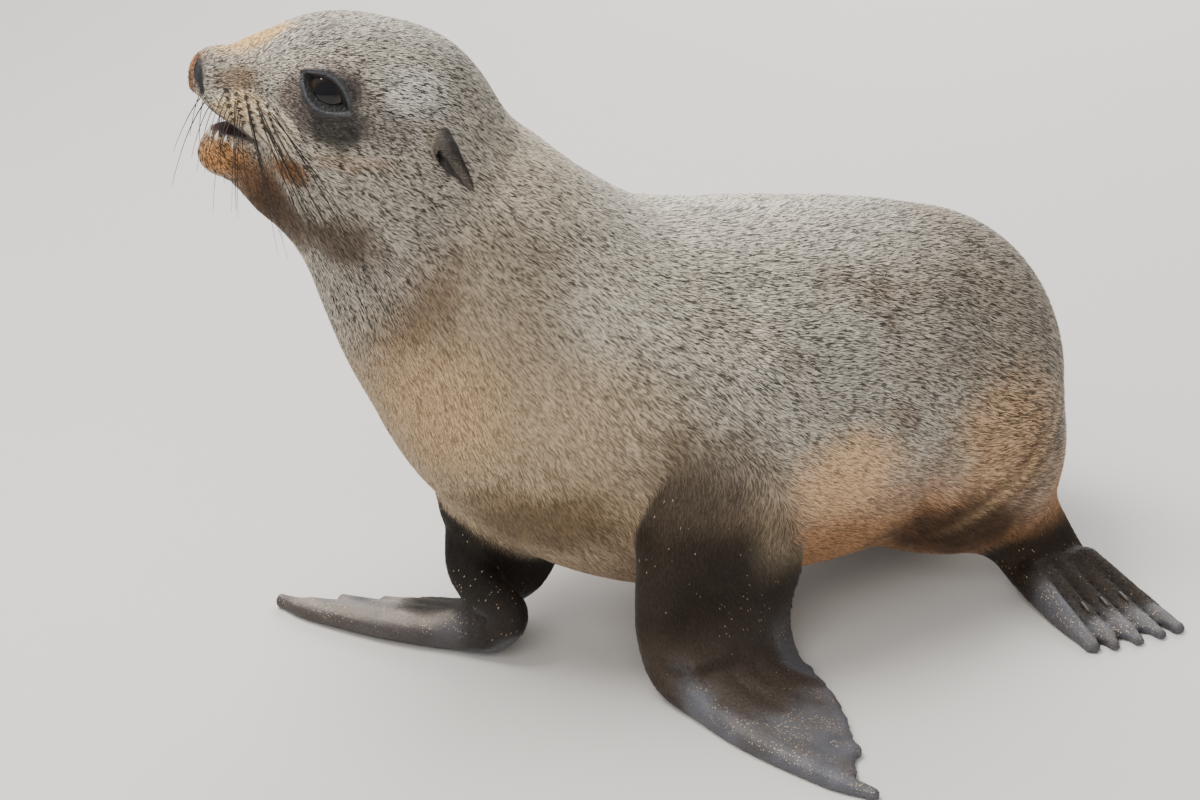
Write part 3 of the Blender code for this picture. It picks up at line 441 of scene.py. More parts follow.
# foot, seen from above: out, back, height, half width, up, down
FOOT = [(0.016, 0.000, 0.010, 0.025, 0.0085, 0.011),
        (0.040, 0.000, 0.0060, 0.026, 0.0060, 0.009),
        (0.062, 0.000, 0.0042, 0.026, 0.0044, 0.007),
        (0.078, 0.000, 0.0030, 0.025, 0.0030, 0.006)]
# five digits: back at the base, back at the tip, length, radius
TOES = [(-0.0175, -0.0245, 0.083, 0.0085),
        (-0.0095, -0.0135, 0.087, 0.0064),
        (0.0000, 0.0000, 0.089, 0.0062),
        (0.0095, 0.0140, 0.089, 0.0064),
        (0.0175, 0.0255, 0.088, 0.0078)]

# ---- head: centimetres from the middle of the brain case: forward, left, up ----
HEAD = (-0.012, -0.108, 0.275)
HEAD_TURN = 20.0             # degrees to the animal's right
HEAD_PITCH = 7.0             # degrees, nose up
MUZZLE = [(1.5, 0, 1.30, 3.85, 3.05, 2.70),
          (4.0, 0, 1.45, 3.00, 2.82, 2.30),
          (6.2, 0, 1.55, 2.20, 2.36, 1.60),
          (7.6, 0, 1.62, 1.60, 1.66, 1.15)]
JAW = [(0.0, 0, -2.60, 3.30, 2.40, 3.60),
       (2.2, 0, -2.60, 2.90, 2.10, 3.30),
       (4.6, 0, -2.40, 2.25, 1.90, 2.45),
       (7.1, 0, -1.98, 1.32, 1.62, 1.00)]
MOUTH_CORNER = (5.9, -0.48)      # forward, up
UPPER_LIP = (0.95, 0.28)         # how fast the upper lip rises at the corner, and levels out
EYE = (2.52, 2.95, 2.62)
EYE_RADIUS = 1.30


def head_axes():
    """the head's forward, left and up directions"""
    turn = np.radians(HEAD_TURN)
    pitch = np.radians(HEAD_PITCH)
    forward = np.array([-np.sin(turn) * np.cos(pitch), -np.cos(turn) * np.cos(pitch),
                        np.sin(pitch)])
    left = unit(np.cross((0, 0, 1), forward))
    return np.array([forward, left, np.cross(forward, left)])


HEAD_AXES = head_axes()


def head_to_body(place):
    """a place in the head's centimetres, as a place in the body's metres"""
    return np.array(HEAD) + 0.01 * np.asarray(place, float) @ HEAD_AXES


def body_to_head(points):
    """points in the body's metres, as points in the head's centimetres"""
    return ((points - np.array(HEAD, FLOAT)) @ HEAD_AXES.T.astype(FLOAT)) * FLOAT(100)


def hind_place(side):
    """where a foot starts, and its heading; side is 1 for the left and -1 for the right"""
    heading = HIND_HEADING if side > 0 else 180 - HIND_HEADING
    return (side * HIND_START[0], HIND_START[1]), heading


def floor_axes(heading):
    """on the floor, the direction of a hand or a foot and the direction of its rear edge"""
    angle = np.radians(heading)
    out = np.array([np.cos(angle), np.sin(angle), 0])
    back = np.array([-out[1], out[0], 0])
    return out, back if back[1] > 0 else -back


def floor_place(points, start, heading):
    """how far out from the wrist or ankle, and how far back, the points lie"""
    out, back = floor_axes(heading)
    offset = points[:, :2] - np.array(start)
    return offset @ out[:2], offset @ back[:2]


def laid_rows(start, heading, rows):
    """rows given by how far out and how far back they lie, as rows in the body's frame"""
    out, back = floor_axes(heading)
    return [(*(start + out[:2] * row[0] + back[:2] * row[1]), *row[2:]) for row in rows]


def narrowed(place, spread):
    """a place behind the leading edge, drawn in as the digits close"""
    return HAND_FRONT + (place - HAND_FRONT) * spread


def digit_rows(places, radius, sizes):
    """rows of a digit from how far out and back its base, bend and tip lie"""
    return [(*place, height, *[radius * share for share in shares])
            for place, (height, *shares) in zip(places, sizes)]


def fore_limb(arm, chord, wrist, heading, spread, reach):
    """arm, palm, leading digit and the four digits behind it, each with its blend"""
    front = -floor_axes(heading)[1]
    chords = chord + [front] * len(PALM)
    palm = [(row[0] * reach, narrowed(row[1], spread), row[2], row[3] * spread, *row[4:])
            for row in PALM]
    leading = [(row[0] * reach, *row[1:]) for row in LEADING]
    forms = [(Sweep(arm + laid_rows(wrist, heading, palm), chords, lead=ARM_LEAD), ARM_BLEND)]
    rows = [(*(np.array(row[:3]) + unit(side) * (row[3] - EDGE_INSET)), *[EDGE_RADIUS] * 3)
            for row, side in zip(arm[2:], chord[2:])] + laid_rows(wrist, heading, leading)
    forms.append((Sweep(rows, chord[2:] + [front] * len(LEADING)), LEADING_BLEND))
    for *places, radius in DIGITS:
        places = [(out * reach, narrowed(back, spread))
                  for out, back in zip(places[::2], places[1::2])]
        rows = laid_rows(wrist, heading, digit_rows(places, radius, FINGER))
        forms.append((Sweep(rows, front), DIGIT_BLEND))
    return forms


def hind_limb(side):
    """ankle, foot and five digits; side is 1 for the left and -1 for the right"""
    start, heading = hind_place(side)
    front = -floor_axes(heading)[1]
    leg = [(side * row[0], *row[1:]) for row in ANKLE]
    rows = leg + laid_rows(start, heading, FOOT)
    chords = [(side * 0.1, -1, 0)] * len(leg) + [front] * len(FOOT)
    forms = [(Sweep(rows, chords, lead=FOOT_LEAD), FOOT_BLEND)]
    for base, tip, length, radius in TOES:
        places = [(TOE_BASE, base), (TOE_BEND, (base + tip) / 2), (length, tip)]
        rows = laid_rows(start, heading, digit_rows(places, radius, TOE))
        forms.append((Sweep(rows, front), DIGIT_BLEND))
    return forms


# masses of the head, each with its fillet; the paired ones lie to the left
HEAD_FORMS = [(Ellipsoid((0.0, 0.0, 0.40), (5.3, 4.6, 4.72)), 0.1),
              (Ellipsoid((2.6, 1.3, 2.2), (3.1, 2.6, 2.45)), 1.2),
              (Sweep(MUZZLE, (0, -1, 0), step=0.5), 1.3),
              (Ellipsoid((6.2, 1.25, 0.75), (2.1, 1.35, 1.38)), 0.6),
              (Ellipsoid((8.15, 0.0, 1.9), (0.85, 1.05, 1.0)), 0.5),
              (Ellipsoid((0.6, 2.4, -1.6), (3.9, 2.4, 3.3)), 1.5),
              (Sweep(JAW, (0, -1, 0), step=0.5), 0.9)]
LID_THICKNESS = 0.10
LID_SLOPE = 0.5                  # how fast the opening widens above the eye
EYE_AIM = (0.24, 0.95, 0.16)
APERTURE = (1.38, 0.76)          # half width and half height of the opening between the lids
APERTURE_TILT = 30.0             # degrees that the front corner lies above the rear one
EAR = [(-2.60, 4.10, 1.20, 0.42, 0.32, 0.32),
       (-2.80, 4.80, 0.92, 0.54, 0.33, 0.33),
       (-3.15, 5.32, 0.42, 0.52, 0.30, 0.30),
       (-3.68, 5.55, -0.12, 0.34, 0.22, 0.22),
       (-4.05, 5.52, -0.55, 0.15, 0.13, 0.13)]
EAR_SIDE = (0.75, 0.10, -0.60)
EAR_FORM = Sweep(EAR, EAR_SIDE, step=0.15)
EAR_FOLD = Sweep([(row[0] + 0.20, row[1] + 0.16, row[2] - 0.26, row[3] * 0.40, 0.20, 0.20)
                  for row in EAR[1:4]], EAR_SIDE, step=0.15)


def eye_axes():
    """outward from the eye, along the slit towards its rear corner, and across the slit"""
    aim = unit(EYE_AIM)
    level = unit(np.cross(aim, (0, 0, 1)))
    upright = np.cross(level, aim)
    tilt = np.radians(APERTURE_TILT)
    slit = np.cos(tilt) * level + np.sin(tilt) * upright
    return np.array([aim, slit, np.cross(slit, aim)], FLOAT)


EYE_AXES = eye_axes()


def with_eyes(value, local):
    """lids drawn over the eyeball, with an almond-shaped opening"""
    offset = local - np.array(EYE, FLOAT)
    away = np.sqrt((offset ** 2).sum(1))
    value = smooth_min(value, away - (EYE_RADIUS + LID_THICKNESS), FLOAT(0.5))
    aim, slit, across = (offset @ EYE_AXES.T).T
    span = np.clip(1 - (slit / APERTURE[0]) ** 2, -0.5, 1)
    opening = (np.abs(across) - APERTURE[1] * span) * 0.7
    opening -= LID_SLOPE * np.clip(away - EYE_RADIUS, 0, 0.5)
    opening = np.maximum(opening, 0.3 - aim)
    return smooth_max(value, -opening, FLOAT(0.1))


def from_lips(local):
    """how far forward of the mouth's corner points lie, and how far above each lip"""
    ahead = local[:, 0] - MOUTH_CORNER[0]
    above = local[:, 2] - MOUTH_CORNER[1]
    rising = np.maximum(ahead, 0)
    return ahead, above - UPPER_LIP[0] * rising / (1 + UPPER_LIP[1] * rising), above


def with_mouth(value, local):
    """a wedge between the jaws, open at the front"""
    ahead, upper, lower = from_lips(local)
    wedge = smooth_max(upper * 0.8, -lower, 0.15)
    wedge = smooth_max(wedge, -0.6 * ahead, 0.15)
    return smooth_max(value, -wedge, FLOAT(0.3))


# ---- the skin: the same forms, inside the solids by the depth of the coat, with its folds ----
BODY_COAT = 0.0018           # depth of the coat, metres
FACE_COAT = 0.0007
EAR_COAT = 0.0002
TAIL_COAT = 0.0006
LIMB_COAT = (0.0003, 0.0010)     # at the floor, and how much more above the elbow
NECK_BLEND = 0.022
TAIL_BLEND = 0.012
FLOOR_GAP = 0.0001           # nothing reaches below this height
CREASE_DEPTH = 0.0030
CREASE_WIDTH = 0.0042
NOSE_PAD = ((8.85, 0.66, 3.00), (8.50, 1.14, 2.05))      # the naked skin beside each nostril
NOSTRIL = ((8.66, 1.02, 2.55), (8.34, 1.42, 1.45), 0.11)
# folds round the eye: 1 above and -1 below the slit, distance outside it, width, height
EYE_FOLDS = [(-1, 0.17, 0.05, 0.030), (1, 0.17, 0.05, 0.040),
             (-1, 0.36, 0.050, -0.065), (1, 0.34, 0.045, -0.050), (1, 0.54, 0.05, -0.040)]
ARM_CREASE = [(0.084, -0.026, 0.070), (0.090, -0.014, 0.106), (0.097, 0.006, 0.138),
              (0.094, 0.030, 0.160)]
RUMP_FOLDS = [(0.000, 0.0016), (-0.011, 0.0012), (0.012, 0.0008)]
TOE_GROOVE = (0.0018, 0.0017)    # depth and half width, metres
TONGUE = (Ellipsoid((6.1, 0.0, -0.88), (1.7, 0.75, 0.52)), 0.25)

BODY_FORM = Sweep(BODY, (1, 0, 0), step=0.005, blunt=RUMP_BLUNT)
MASSES = [(Ellipsoid(*place), 0.020) for place in SHOULDERS + HIPS]
LIMBS = [fore_limb(LEFT_ARM, LEFT_ARM_CHORD, *LEFT_HAND),
         fore_limb(RIGHT_ARM, RIGHT_ARM_CHORD, *RIGHT_HAND), hind_limb(1), hind_limb(-1)]
TAIL_FORM = Sweep(TAIL, (1, 0, 0))
# the grid along x, y and z: where it starts and stops, and between what it is fine
AXES = [(-0.17, 0.23, -0.086, 0.056), (-0.21, 0.29, -0.21, -0.088), (-0.006, 0.345, 0.218, 0.345)]
HEAD_LOW = np.array((-0.10, -0.23, 0.16), FLOAT)
HEAD_HIGH = np.array((0.07, -0.03, 0.36), FLOAT)


def rod(points, first, last):
    """distance from the points to a straight line between two places"""
    first = np.asarray(first, FLOAT)
    line = np.asarray(last, FLOAT) - first
    part = np.clip((points - first) @ line / (line @ line), 0, 1)
    return np.sqrt(((points - first - part[:, None] * line) ** 2).sum(1))


def lid_place(local):
    """distance outside the slit between the lids, side of the slit and distance outward"""
    offset = local - np.array(EYE, FLOAT)
    aim, slit, across = (offset @ EYE_AXES.T).T
    span = np.clip(1 - (slit / APERTURE[0]) ** 2, -0.9, 1)
    return (np.abs(across) - APERTURE[1] * span) * 0.7, np.sign(across), aim


def with_folds(value, local):
    """folds round the eyes, nostrils, the middle groove of the nose and a tongue"""
    outside, side, aim = lid_place(local)
    height = np.zeros(len(local), FLOAT)
    for which, middle, width, high in EYE_FOLDS:
        height += high * ridge(outside, middle, width) * (side == which)
    height *= ramp(aim, 0.4, 0.8)
    groove = ridge(local[:, 1], 0.1, 0.09) * ramp(local[:, 0], 8.4, 8.8)
    height -= 0.06 * groove * fade(local[:, 2], 2.3, 2.8)
    value = value - height
    nostril = rod(local, *NOSTRIL[:2])
    value = value - 0.07 * ridge(nostril, NOSTRIL[2] + 0.10, 0.10)
    value = smooth_max(value, NOSTRIL[2] - nostril, FLOAT(0.08))
    form, blend = TONGUE
    return smooth_min(value, near_only(form, local, 1.0), FLOAT(blend))


def head_skin(points):
    """the head's field with its folds, in metres"""
    local = body_to_head(points)
    local[:, 1] = np.sqrt(local[:, 1] ** 2 + 0.04) - 0.1
    value = HEAD_FORMS[0][0].field(local)
    for form, blend in HEAD_FORMS[1:]:
        value = smooth_min(value, near_only(form, local, 3.0), FLOAT(blend))
    value = value + FLOAT(FACE_COAT * 100)
    value = with_mouth(value, local)
    value = with_eyes(value, local)
    value = with_folds(value, local)
    ear = EAR_FORM.field(local)
    ear = smooth_max(ear, -EAR_FOLD.field(local), FLOAT(0.10)) + FLOAT(EAR_COAT * 100)
    value = smooth_min(value, ear, FLOAT(0.12))
    return value * FLOAT(0.01)


def rump_level(points):
    """height above the slanting line of the rump's folds, and how far they show"""
    x, y, z = points.T
    level = z - (0.041 + (y - 0.158) * 0.69)
    return level, ramp(np.abs(x), 0.03, 0.06) * ramp(y, 0.145, 0.19)


def rump_fold(points):
    """depth of the folds that run from the rump's rear down to the flank"""
    level, share = rump_level(points)
    depth = np.zeros(len(points), FLOAT)
    for middle, deep in RUMP_FOLDS:
        depth += deep * ridge(level, middle, 0.0035)
    return depth * share


def toe_groove(points):
    """1 in the grooves between the toes of the hind flippers"""
    x, y, z = points.T
    share = np.zeros(len(points))
    close = (z < 0.025) & (y > 0.17) & (np.abs(x) > 0.070)
    place = points[close]
    place[:, 0] = np.abs(place[:, 0])
    out, back = floor_place(place, HIND_START, HIND_HEADING)
    groove = np.zeros(len(place))
    for first, second in zip(TOES[:-1], TOES[1:]):
        base, tip, length = [(first[k] + second[k]) / 2 for k in range(3)]
        middle = base + (tip - base) * np.clip(out / length, 0, 1)
        groove = np.maximum(groove, ridge(back, middle, TOE_GROOVE[1]))
    share[close] = groove * ramp(out, 0.028, 0.050)
    return share


def arm_crease(points):
    """depth of the fold where the chest's skin meets the near arm"""
    near = np.full(len(points), 1.0)
    for first, last in zip(ARM_CREASE[:-1], ARM_CREASE[1:]):
        near = np.minimum(near, rod(points, first, last))
    return CREASE_DEPTH * ridge(near, 0, CREASE_WIDTH) * fade(points[:, 2], 0.135, 0.165)


def limb_coat(points):
    """depth of the coat on the limbs, thin at the floor"""
    low, more = LIMB_COAT
    return FLOAT(low) + FLOAT(more) * ramp(points[:, 2], 0.03, 0.12).astype(FLOAT)


def skin_field(points):
    """the whole skin: below zero inside, in metres"""
    value = BODY_FORM.field(points) + FLOAT(BODY_COAT) + rump_fold(points)
    gap = outside_box(points, HEAD_LOW, HEAD_HIGH)
    close = gap < MARGIN
    part = gap + FLOAT(0.01)
    if close.any():
        part[close] = head_skin(points[close])
    value = smooth_min(value, part, FLOAT(NECK_BLEND))
    for form, blend in MASSES:
        value = smooth_min(value, near_only(form, points, MARGIN) + FLOAT(BODY_COAT), FLOAT(blend))
    coat = limb_coat(points)
    for limb in LIMBS:
        for form, blend in limb:
            value = smooth_min(value, near_only(form, points, MARGIN) + coat, FLOAT(blend))
    tail = near_only(TAIL_FORM, points, MARGIN) + FLOAT(TAIL_COAT)
    value = smooth_min(value, tail, FLOAT(TAIL_BLEND))
    value = value + arm_crease(points) + TOE_GROOVE[0] * toe_groove(points)
    return np.maximum(value, FLOAT(FLOOR_GAP) - points[:, 2])


def stepped_axis(start, stop, fine_from, fine_to):
    """grid coordinates, closer together on the head"""
    places = [start]
    while places[-1] < stop or (len(places) - 1) % BLOCK:
        step = HEAD_STEP if fine_from <= places[-1] < fine_to else BODY_STEP
        places.append(places[-1] + step)
    return np.array(places)


def skin_mesh():
    """vertices and quads of the skin"""
    vertices, quads = surface_mesh(skin_field, [stepped_axis(*axis) for axis in AXES])
    return settled(skin_field, vertices), quads


def vertex_normals(vertices, quads):
    """outward direction at each vertex"""
    a, b, c, d = [vertices[quads[:, k]] for k in range(4)]
    face = np.cross(c - a, d - b)
    out = np.zeros(vertices.shape)
    for k in range(4):
        for axis in range(3):
            out[:, axis] += np.bincount(quads[:, k], face[:, axis], len(vertices))
    return out / np.maximum(np.linalg.norm(out, axis=1, keepdims=True), 1e-12)


# ---- markings, among them painted shade and painted light: the same for skin and coat; colours are linear ----
SILVER = (0.345, 0.312, 0.262)
BACK_SILVER = (0.480, 0.435, 0.360)
OLIVE = (0.330, 0.290, 0.215)
NECK_TAN = (0.290, 0.235, 0.160)
CHEST_TAN = (0.440, 0.330, 0.210)
BELLY_TAN = (0.470, 0.240, 0.105)
RUMP_BROWN = (0.200, 0.135, 0.080)
ARM_BLACK = (0.032, 0.019, 0.009)
ARM_DUSTY = (0.080, 0.056, 0.040)
SLATE = (0.074, 0.074, 0.086)
# brown in the rump's folds, darkened there as painted shade
FOLD_BROWN_AND_SHADE = (0.110, 0.062, 0.030)
FOLD_PALE = (0.640, 0.440, 0.230)
# pale dust on the flippers, also used as a painted sheen on the far hand's upper side
DUST_AND_SHEEN = (0.330, 0.280, 0.230)
FLIPPER_BROWN = (0.042, 0.032, 0.027)
# marks on the body, the same on both sides: middle, radii, colour, strength; metres; three of them
# are painted shade and one is painted light
BODY_MARKS = [((0.020, -0.048, 0.270), (0.060, 0.055, 0.045), (0.660, 0.570, 0.430), 0.85),
              ((0.066, -0.012, 0.200), (0.050, 0.050, 0.045), (0.640, 0.580, 0.470), 0.80),
              ((0.020, 0.060, 0.225), (0.060, 0.110, 0.035), (0.720, 0.650, 0.540), 0.70),
              # brown fur on the underside of the chest, darkened further as painted shade where the
              # body's shadow falls
              ((0.050, -0.050, 0.088), (0.060, 0.060, 0.030), (0.170, 0.105, 0.048), 0.80),
              # tan fur behind the near arm, brightened as painted light against the arm's shade
              ((0.095, 0.085, 0.100), (0.045, 0.045, 0.032), (0.920, 0.590, 0.320), 0.85),
              ((0.085, 0.195, 0.096), (0.050, 0.055, 0.040), (0.560, 0.320, 0.140), 0.70),
              # painted shadow in the groin, under the rump in front of the hind leg
              ((0.070, 0.168, 0.046), (0.060, 0.050, 0.028), (0.045, 0.018, 0.005), 0.95),
              # brown fur of the throat, darkened further as painted shade under the head
              ((0.040, -0.120, 0.214), (0.050, 0.034, 0.040), (0.185, 0.115, 0.062), 0.75),
              ((0.045, -0.105, 0.150), (0.050, 0.040, 0.045), (0.620, 0.410, 0.225), 0.65),
              ((0.080, -0.040, 0.150), (0.050, 0.050, 0.040), (0.560, 0.420, 0.260), 0.50)]
# painted shade above the near arm, where it meets the body
ARM_PAINTED_SHADE = ((0.102, 0.008, 0.120), (0.040, 0.046, 0.032), (0.110, 0.080, 0.050), 0.55)
NECK_PLANE = ((-3.6, 0.0, -2.9), (0.853, 0.0, 0.52))     # behind it the neck begins
# darkness of the fur on the near arm, and on the far arm, which is darkened further as painted
# shadow
ARM_TONE_AND_FAR_SHADE = (0.85, 0.32)                                # near and far
FRINGE_GOLD = (0.330, 0.255, 0.165)
# painted shade in the grooves between the toes
GROOVE_PAINTED_SHADE = (0.012, 0.010, 0.009)
LID_RIM = (0.060, 0.062, 0.070)
LID_DARK = (0.004, 0.004, 0.004)
NOSE_BLACK = (0.022, 0.021, 0.023)
MOUTH_RED = (0.095, 0.036, 0.033)
# painted shade towards the back of the mouth
MOUTH_PAINTED_SHADE = (0.020, 0.010, 0.010)
EAR_BROWN = (0.050, 0.032, 0.020)
EAR_BLACK = (0.010, 0.006, 0.004)
EAR_HOLLOW = (0.014, 0.010, 0.009)
FOLLICLE_DARK = (0.020, 0.014, 0.010)
# marks on the head: middle, radii, colour, strength
FACE_MARKS = [((6.6, 0.0, 3.9), (3.1, 1.5, 1.1), (1.000, 0.620, 0.240), 0.97),
              ((8.9, 0.0, 1.9), (0.9, 1.6, 1.6), (0.250, 0.088, 0.020), 0.9),
              ((7.0, 1.9, 2.4), (1.7, 0.9, 0.9), (0.190, 0.120, 0.068), 0.85),
              ((6.4, 2.6, 1.1), (1.6, 1.4, 0.9), (0.980, 0.720, 0.420), 0.95),
              ((7.2, 0.9, -1.7), (1.9, 2.1, 1.2), (0.410, 0.190, 0.062), 0.95),
              ((5.4, 1.6, -2.8), (2.1, 2.7, 1.9), (0.190, 0.090, 0.036), 0.92),
              ((4.3, 3.5, -1.15), (1.9, 1.7, 0.9), (0.215, 0.085, 0.026), 0.90),
              # these two: brown fur under the jaw and throat, darkened as painted shade under the
              # head
              ((4.4, 2.0, -3.9), (3.4, 3.4, 2.3), (0.072, 0.038, 0.018), 0.92),
              ((1.7, 4.3, -4.1), (2.6, 2.4, 1.9), (0.100, 0.062, 0.036), 0.82),
              ((1.7, 5.0, -0.1), (2.7, 1.3, 0.65), (0.310, 0.235, 0.165), 0.8),
              ((0.1, 4.6, 1.7), (2.2, 1.7, 1.4), (0.185, 0.162, 0.142), 0.7),
              ((-1.1, 3.9, 3.2), (2.3, 1.9, 1.5), (0.560, 0.540, 0.490), 0.7),
              ((3.4, 1.5, 4.6), (2.0, 2.0, 1.2), (0.260, 0.230, 0.195), 0.5),
              ((4.4, 3.8, 2.4), (1.2, 1.0, 1.2), (0.170, 0.130, 0.105), 0.75),
              ((2.9, 4.1, 2.7), (3.1, 2.0, 2.3), (0.175, 0.135, 0.118), 0.85),
              ((2.4, 4.8, 1.3), (2.4, 1.7, 1.35), (0.034, 0.032, 0.027), 0.92),
              ((2.6, 4.1, 2.7), (2.0, 1.6, 1.45), (0.040, 0.033, 0.030), 0.92),
              ((-2.3, 4.8, 1.5), (0.9, 0.9, 0.6), (0.240, 0.170, 0.095), 0.6)]
# pale streaks between the whiskers: middle, radii, direction along them, distance apart
STREAKS = ((5.2, 3.2, 0.45), (1.8, 1.6, 1.45), (-0.62, 0.45, -0.64), 0.50)
STREAK_PALE = (1.000, 0.860, 0.640)
STREAK_DARK = (0.150, 0.090, 0.055)
FOLLICLE = 0.080             # radius of the dark spot at a whisker's root, cm
# whiskers' roots on the pad, row by row: forward, up, place in the row from the front
WHISKER_ROOTS = [(7.30 - 0.48 * i - 0.10 * row, 1.80 - 0.29 * row - 0.05 * i, i)
                 for row in range(5) for i in range(5)]


def lattice(cells, seed):
    """a number from -1 to 1 for each whole-number cell"""
    x, y, z = [cells[:, k].astype(np.uint64) for k in range(3)]
    mixed = (x * np.uint64(73856093)) ^ (y * np.uint64(19349663)) ^ (z * np.uint64(83492791))
    mixed ^= np.uint64(seed * 2654435761)
    mixed = (mixed ^ (mixed >> np.uint64(13))) * np.uint64(1274126177)
    mixed ^= mixed >> np.uint64(16)
    return (mixed & np.uint64(0xFFFF)).astype(float) / 32767.5 - 1


def mottle(points, size, seed):
    """smooth noise from -1 to 1, with spots about as wide as size"""
    place = points / size + 1000
    low = np.floor(place)
    part = place - low
    part = part * part * (3 - 2 * part)
    low = low.astype(np.int64)
    total = np.zeros(len(points))
    for i in (0, 1):
        for j in (0, 1):
            for k in (0, 1):
                share = ((part[:, 0] if i else 1 - part[:, 0])
                         * (part[:, 1] if j else 1 - part[:, 1])
                         * (part[:, 2] if k else 1 - part[:, 2]))
                total += share * lattice(low + (i, j, k), seed)
    return total


def plain(colour, count):
    """one colour for each of count points"""
    return np.tile(np.array(colour), (count, 1))


def mixed(colour, other, share):
    """one colour drawn towards another"""
    return colour + (np.asarray(other) - colour) * share[:, None]


def away_from(places, middle, radii):
    """how far out the places lie in an ellipsoid, 1 at its edge"""
    return np.sqrt((((places - middle) / radii) ** 2).sum(1))


def marked(made, places, marks, rough, share):
    """the colours with soft-edged marks laid over them"""
    for middle, radii, colour, strength in marks:
        away = away_from(places, middle, radii) + rough
        made = mixed(made, colour, fade(away, 0.35, 1.15) * strength * share)
    return made


class Ground:
    """what the markings and the coat need to know about each point of the skin"""

    def __init__(self, points, normals):
        self.points = points.astype(FLOAT)
        self.normals = normals
        self.local = body_to_head(self.points)
        self.local[:, 1] = np.abs(self.local[:, 1])
        place, row, across, up, _ = BODY_FORM.local(self.points)
        self.along = place / BODY_FORM.count
        self.tangent = row[:, 3:6]
        self.angle = np.arctan2(across, up)
        self.top = np.cos(self.angle)
        ahead = (self.local - np.array(NECK_PLANE[0])) @ np.array(NECK_PLANE[1])
        self.head = ramp(ahead, -1.5, 1.5)
        self.from_slit, _, aim = lid_place(self.local)
        self.by_eye = ramp(aim, 0.3, 0.6)
        self.from_ear = EAR_FORM.field(self.local)
        self.limb = []
        self.flow = []
        for limb in LIMBS:
            near = np.full(len(points), MARGIN, FLOAT)
            for form, _ in limb:
                near = np.minimum(near, near_only(form, self.points, 0.02))
            share = fade(near, 0.001, 0.006)
            flow = np.zeros((len(points), 3), FLOAT)
            close = share > 0
            if close.any():
                flow[close] = limb[0][0].local(self.points[close])[1][:, 3:6]
            self.limb.append(share)
            self.flow.append(flow)
        self.limbs = np.maximum.reduce(self.limb)
        self.lip = self.lip_share()
        self.bare = self.bare_share()

    def bare_share(self):
        """1 on the naked skin of the flippers, nose, lids and lips"""
        wobble = 0.004 * mottle(self.points, 0.012, 5)
        under = ramp(-self.normals[:, 2], 0.2, 0.6)
        shares = []
        for start, heading, *_ in (LEFT_HAND, RIGHT_HAND):
            out, back = floor_place(self.points, start, heading)
            back = back + wobble
            shares.append([ramp(out + 0.25 * np.abs(back + 0.010) + wobble, 0.036, 0.058),
                           fade(back, -0.034, -0.024) * ramp(out, -0.012, 0.012),
                           ramp(back, 0.018, 0.028) * ramp(out, -0.004, 0.010), under])
        for side in (1, -1):
            out, back = floor_place(self.points, *hind_place(side))
            shares.append([ramp(out + wobble, 0.056, 0.076),
                           fade(back, -0.020, -0.012) * ramp(out, 0.02, 0.045),
                           under * ramp(out, 0.0, 0.02)])
        low = fade(self.points[:, 2], 0.024, 0.036)
        bare = [np.maximum.reduce(share) * low * limb for share, limb in zip(shares, self.limb)]
        return np.maximum.reduce([*bare, self.face_bare()])

    def face_bare(self):
        """1 on the nostrils, lids, lips and the inside of the mouth and ears"""
        lids = fade(self.from_slit, 0.12, 0.20) * self.by_eye
        pad = fade(rod(self.local, *NOSE_PAD), 0.26, 0.40)
        nostril = fade(rod(self.local, *NOSTRIL[:2]), 0.12, 0.20)
        ear = fade(EAR_FOLD.field(self.local), 0.02, 0.10)
        return np.maximum.reduce([lids, pad, nostril, self.lip, ear])

    def lip_share(self):
        """1 on the lips and inside the mouth"""
        ahead, upper, lower = from_lips(self.local)
        inside = np.maximum.reduce([upper * 0.8, -lower * 0.7, -0.8 * ahead - 0.1])
        return fade(inside, 0.08, 0.22) * self.head

    def colour(self):
        """the mean colour of the coat, or of the naked skin"""
        points = self.points
        x, y, z = points.T
        blotch = mottle(points, 0.030, 1) + 0.5 * mottle(points, 0.012, 2)
        fleck = mottle(points, 0.006, 3)
        made = plain(BACK_SILVER, len(points))
        front = fade(self.along, 0.30, 0.62)
        made = mixed(made, NECK_TAN, front * fade(self.top, 0.1, 0.9) * 0.8)
        made = mixed(made, OLIVE, front * ramp(self.top, 0.2, 0.9) * 0.6)
        low = fade(self.top + 0.12 * blotch, -0.55, 0.25)
        chest = low * fade(self.along, 0.5, 0.75) * ramp(self.along, 0.10, 0.32)
        made = mixed(made, CHEST_TAN, chest)
        made = mixed(made, BELLY_TAN, low * ramp(self.along, 0.5, 0.75))
        rump = ramp(self.along + 0.06 * blotch, 0.80, 1.0) * ramp(self.top + 0.2 * blotch, 0.1, 0.6)
        made = mixed(made, RUMP_BROWN, rump * 0.5)
        dark = ramp(blotch, 0.35, 0.95) * ramp(self.top, -0.2, 0.4)
        made = mixed(made, RUMP_BROWN, dark * (0.20 + 0.40 * ramp(self.along, 0.55, 0.9)))
        rough = 0.12 * fleck + 0.14 * blotch
        made = marked(made, np.column_stack([np.abs(x), y, z]), BODY_MARKS, rough, 1.0)
        # painted shade above the near arm, on the near side only
        made = marked(made, points, [ARM_PAINTED_SHADE], rough, 1.0)
        made = mixed(made, SILVER, self.head * 0.8)
        made = marked(made, self.local, FACE_MARKS, rough, self.head)
        made = self.with_streaks(made, fleck)
        ear = fade(self.from_ear, 0.03, 0.12)
        made = mixed(made, EAR_BROWN, ear * 0.9)
        made = mixed(made, EAR_BLACK, ear * ramp(-self.local[:, 0], 2.0, 3.0))
        level, share = rump_level(points)
        level = level + 0.001 * fleck
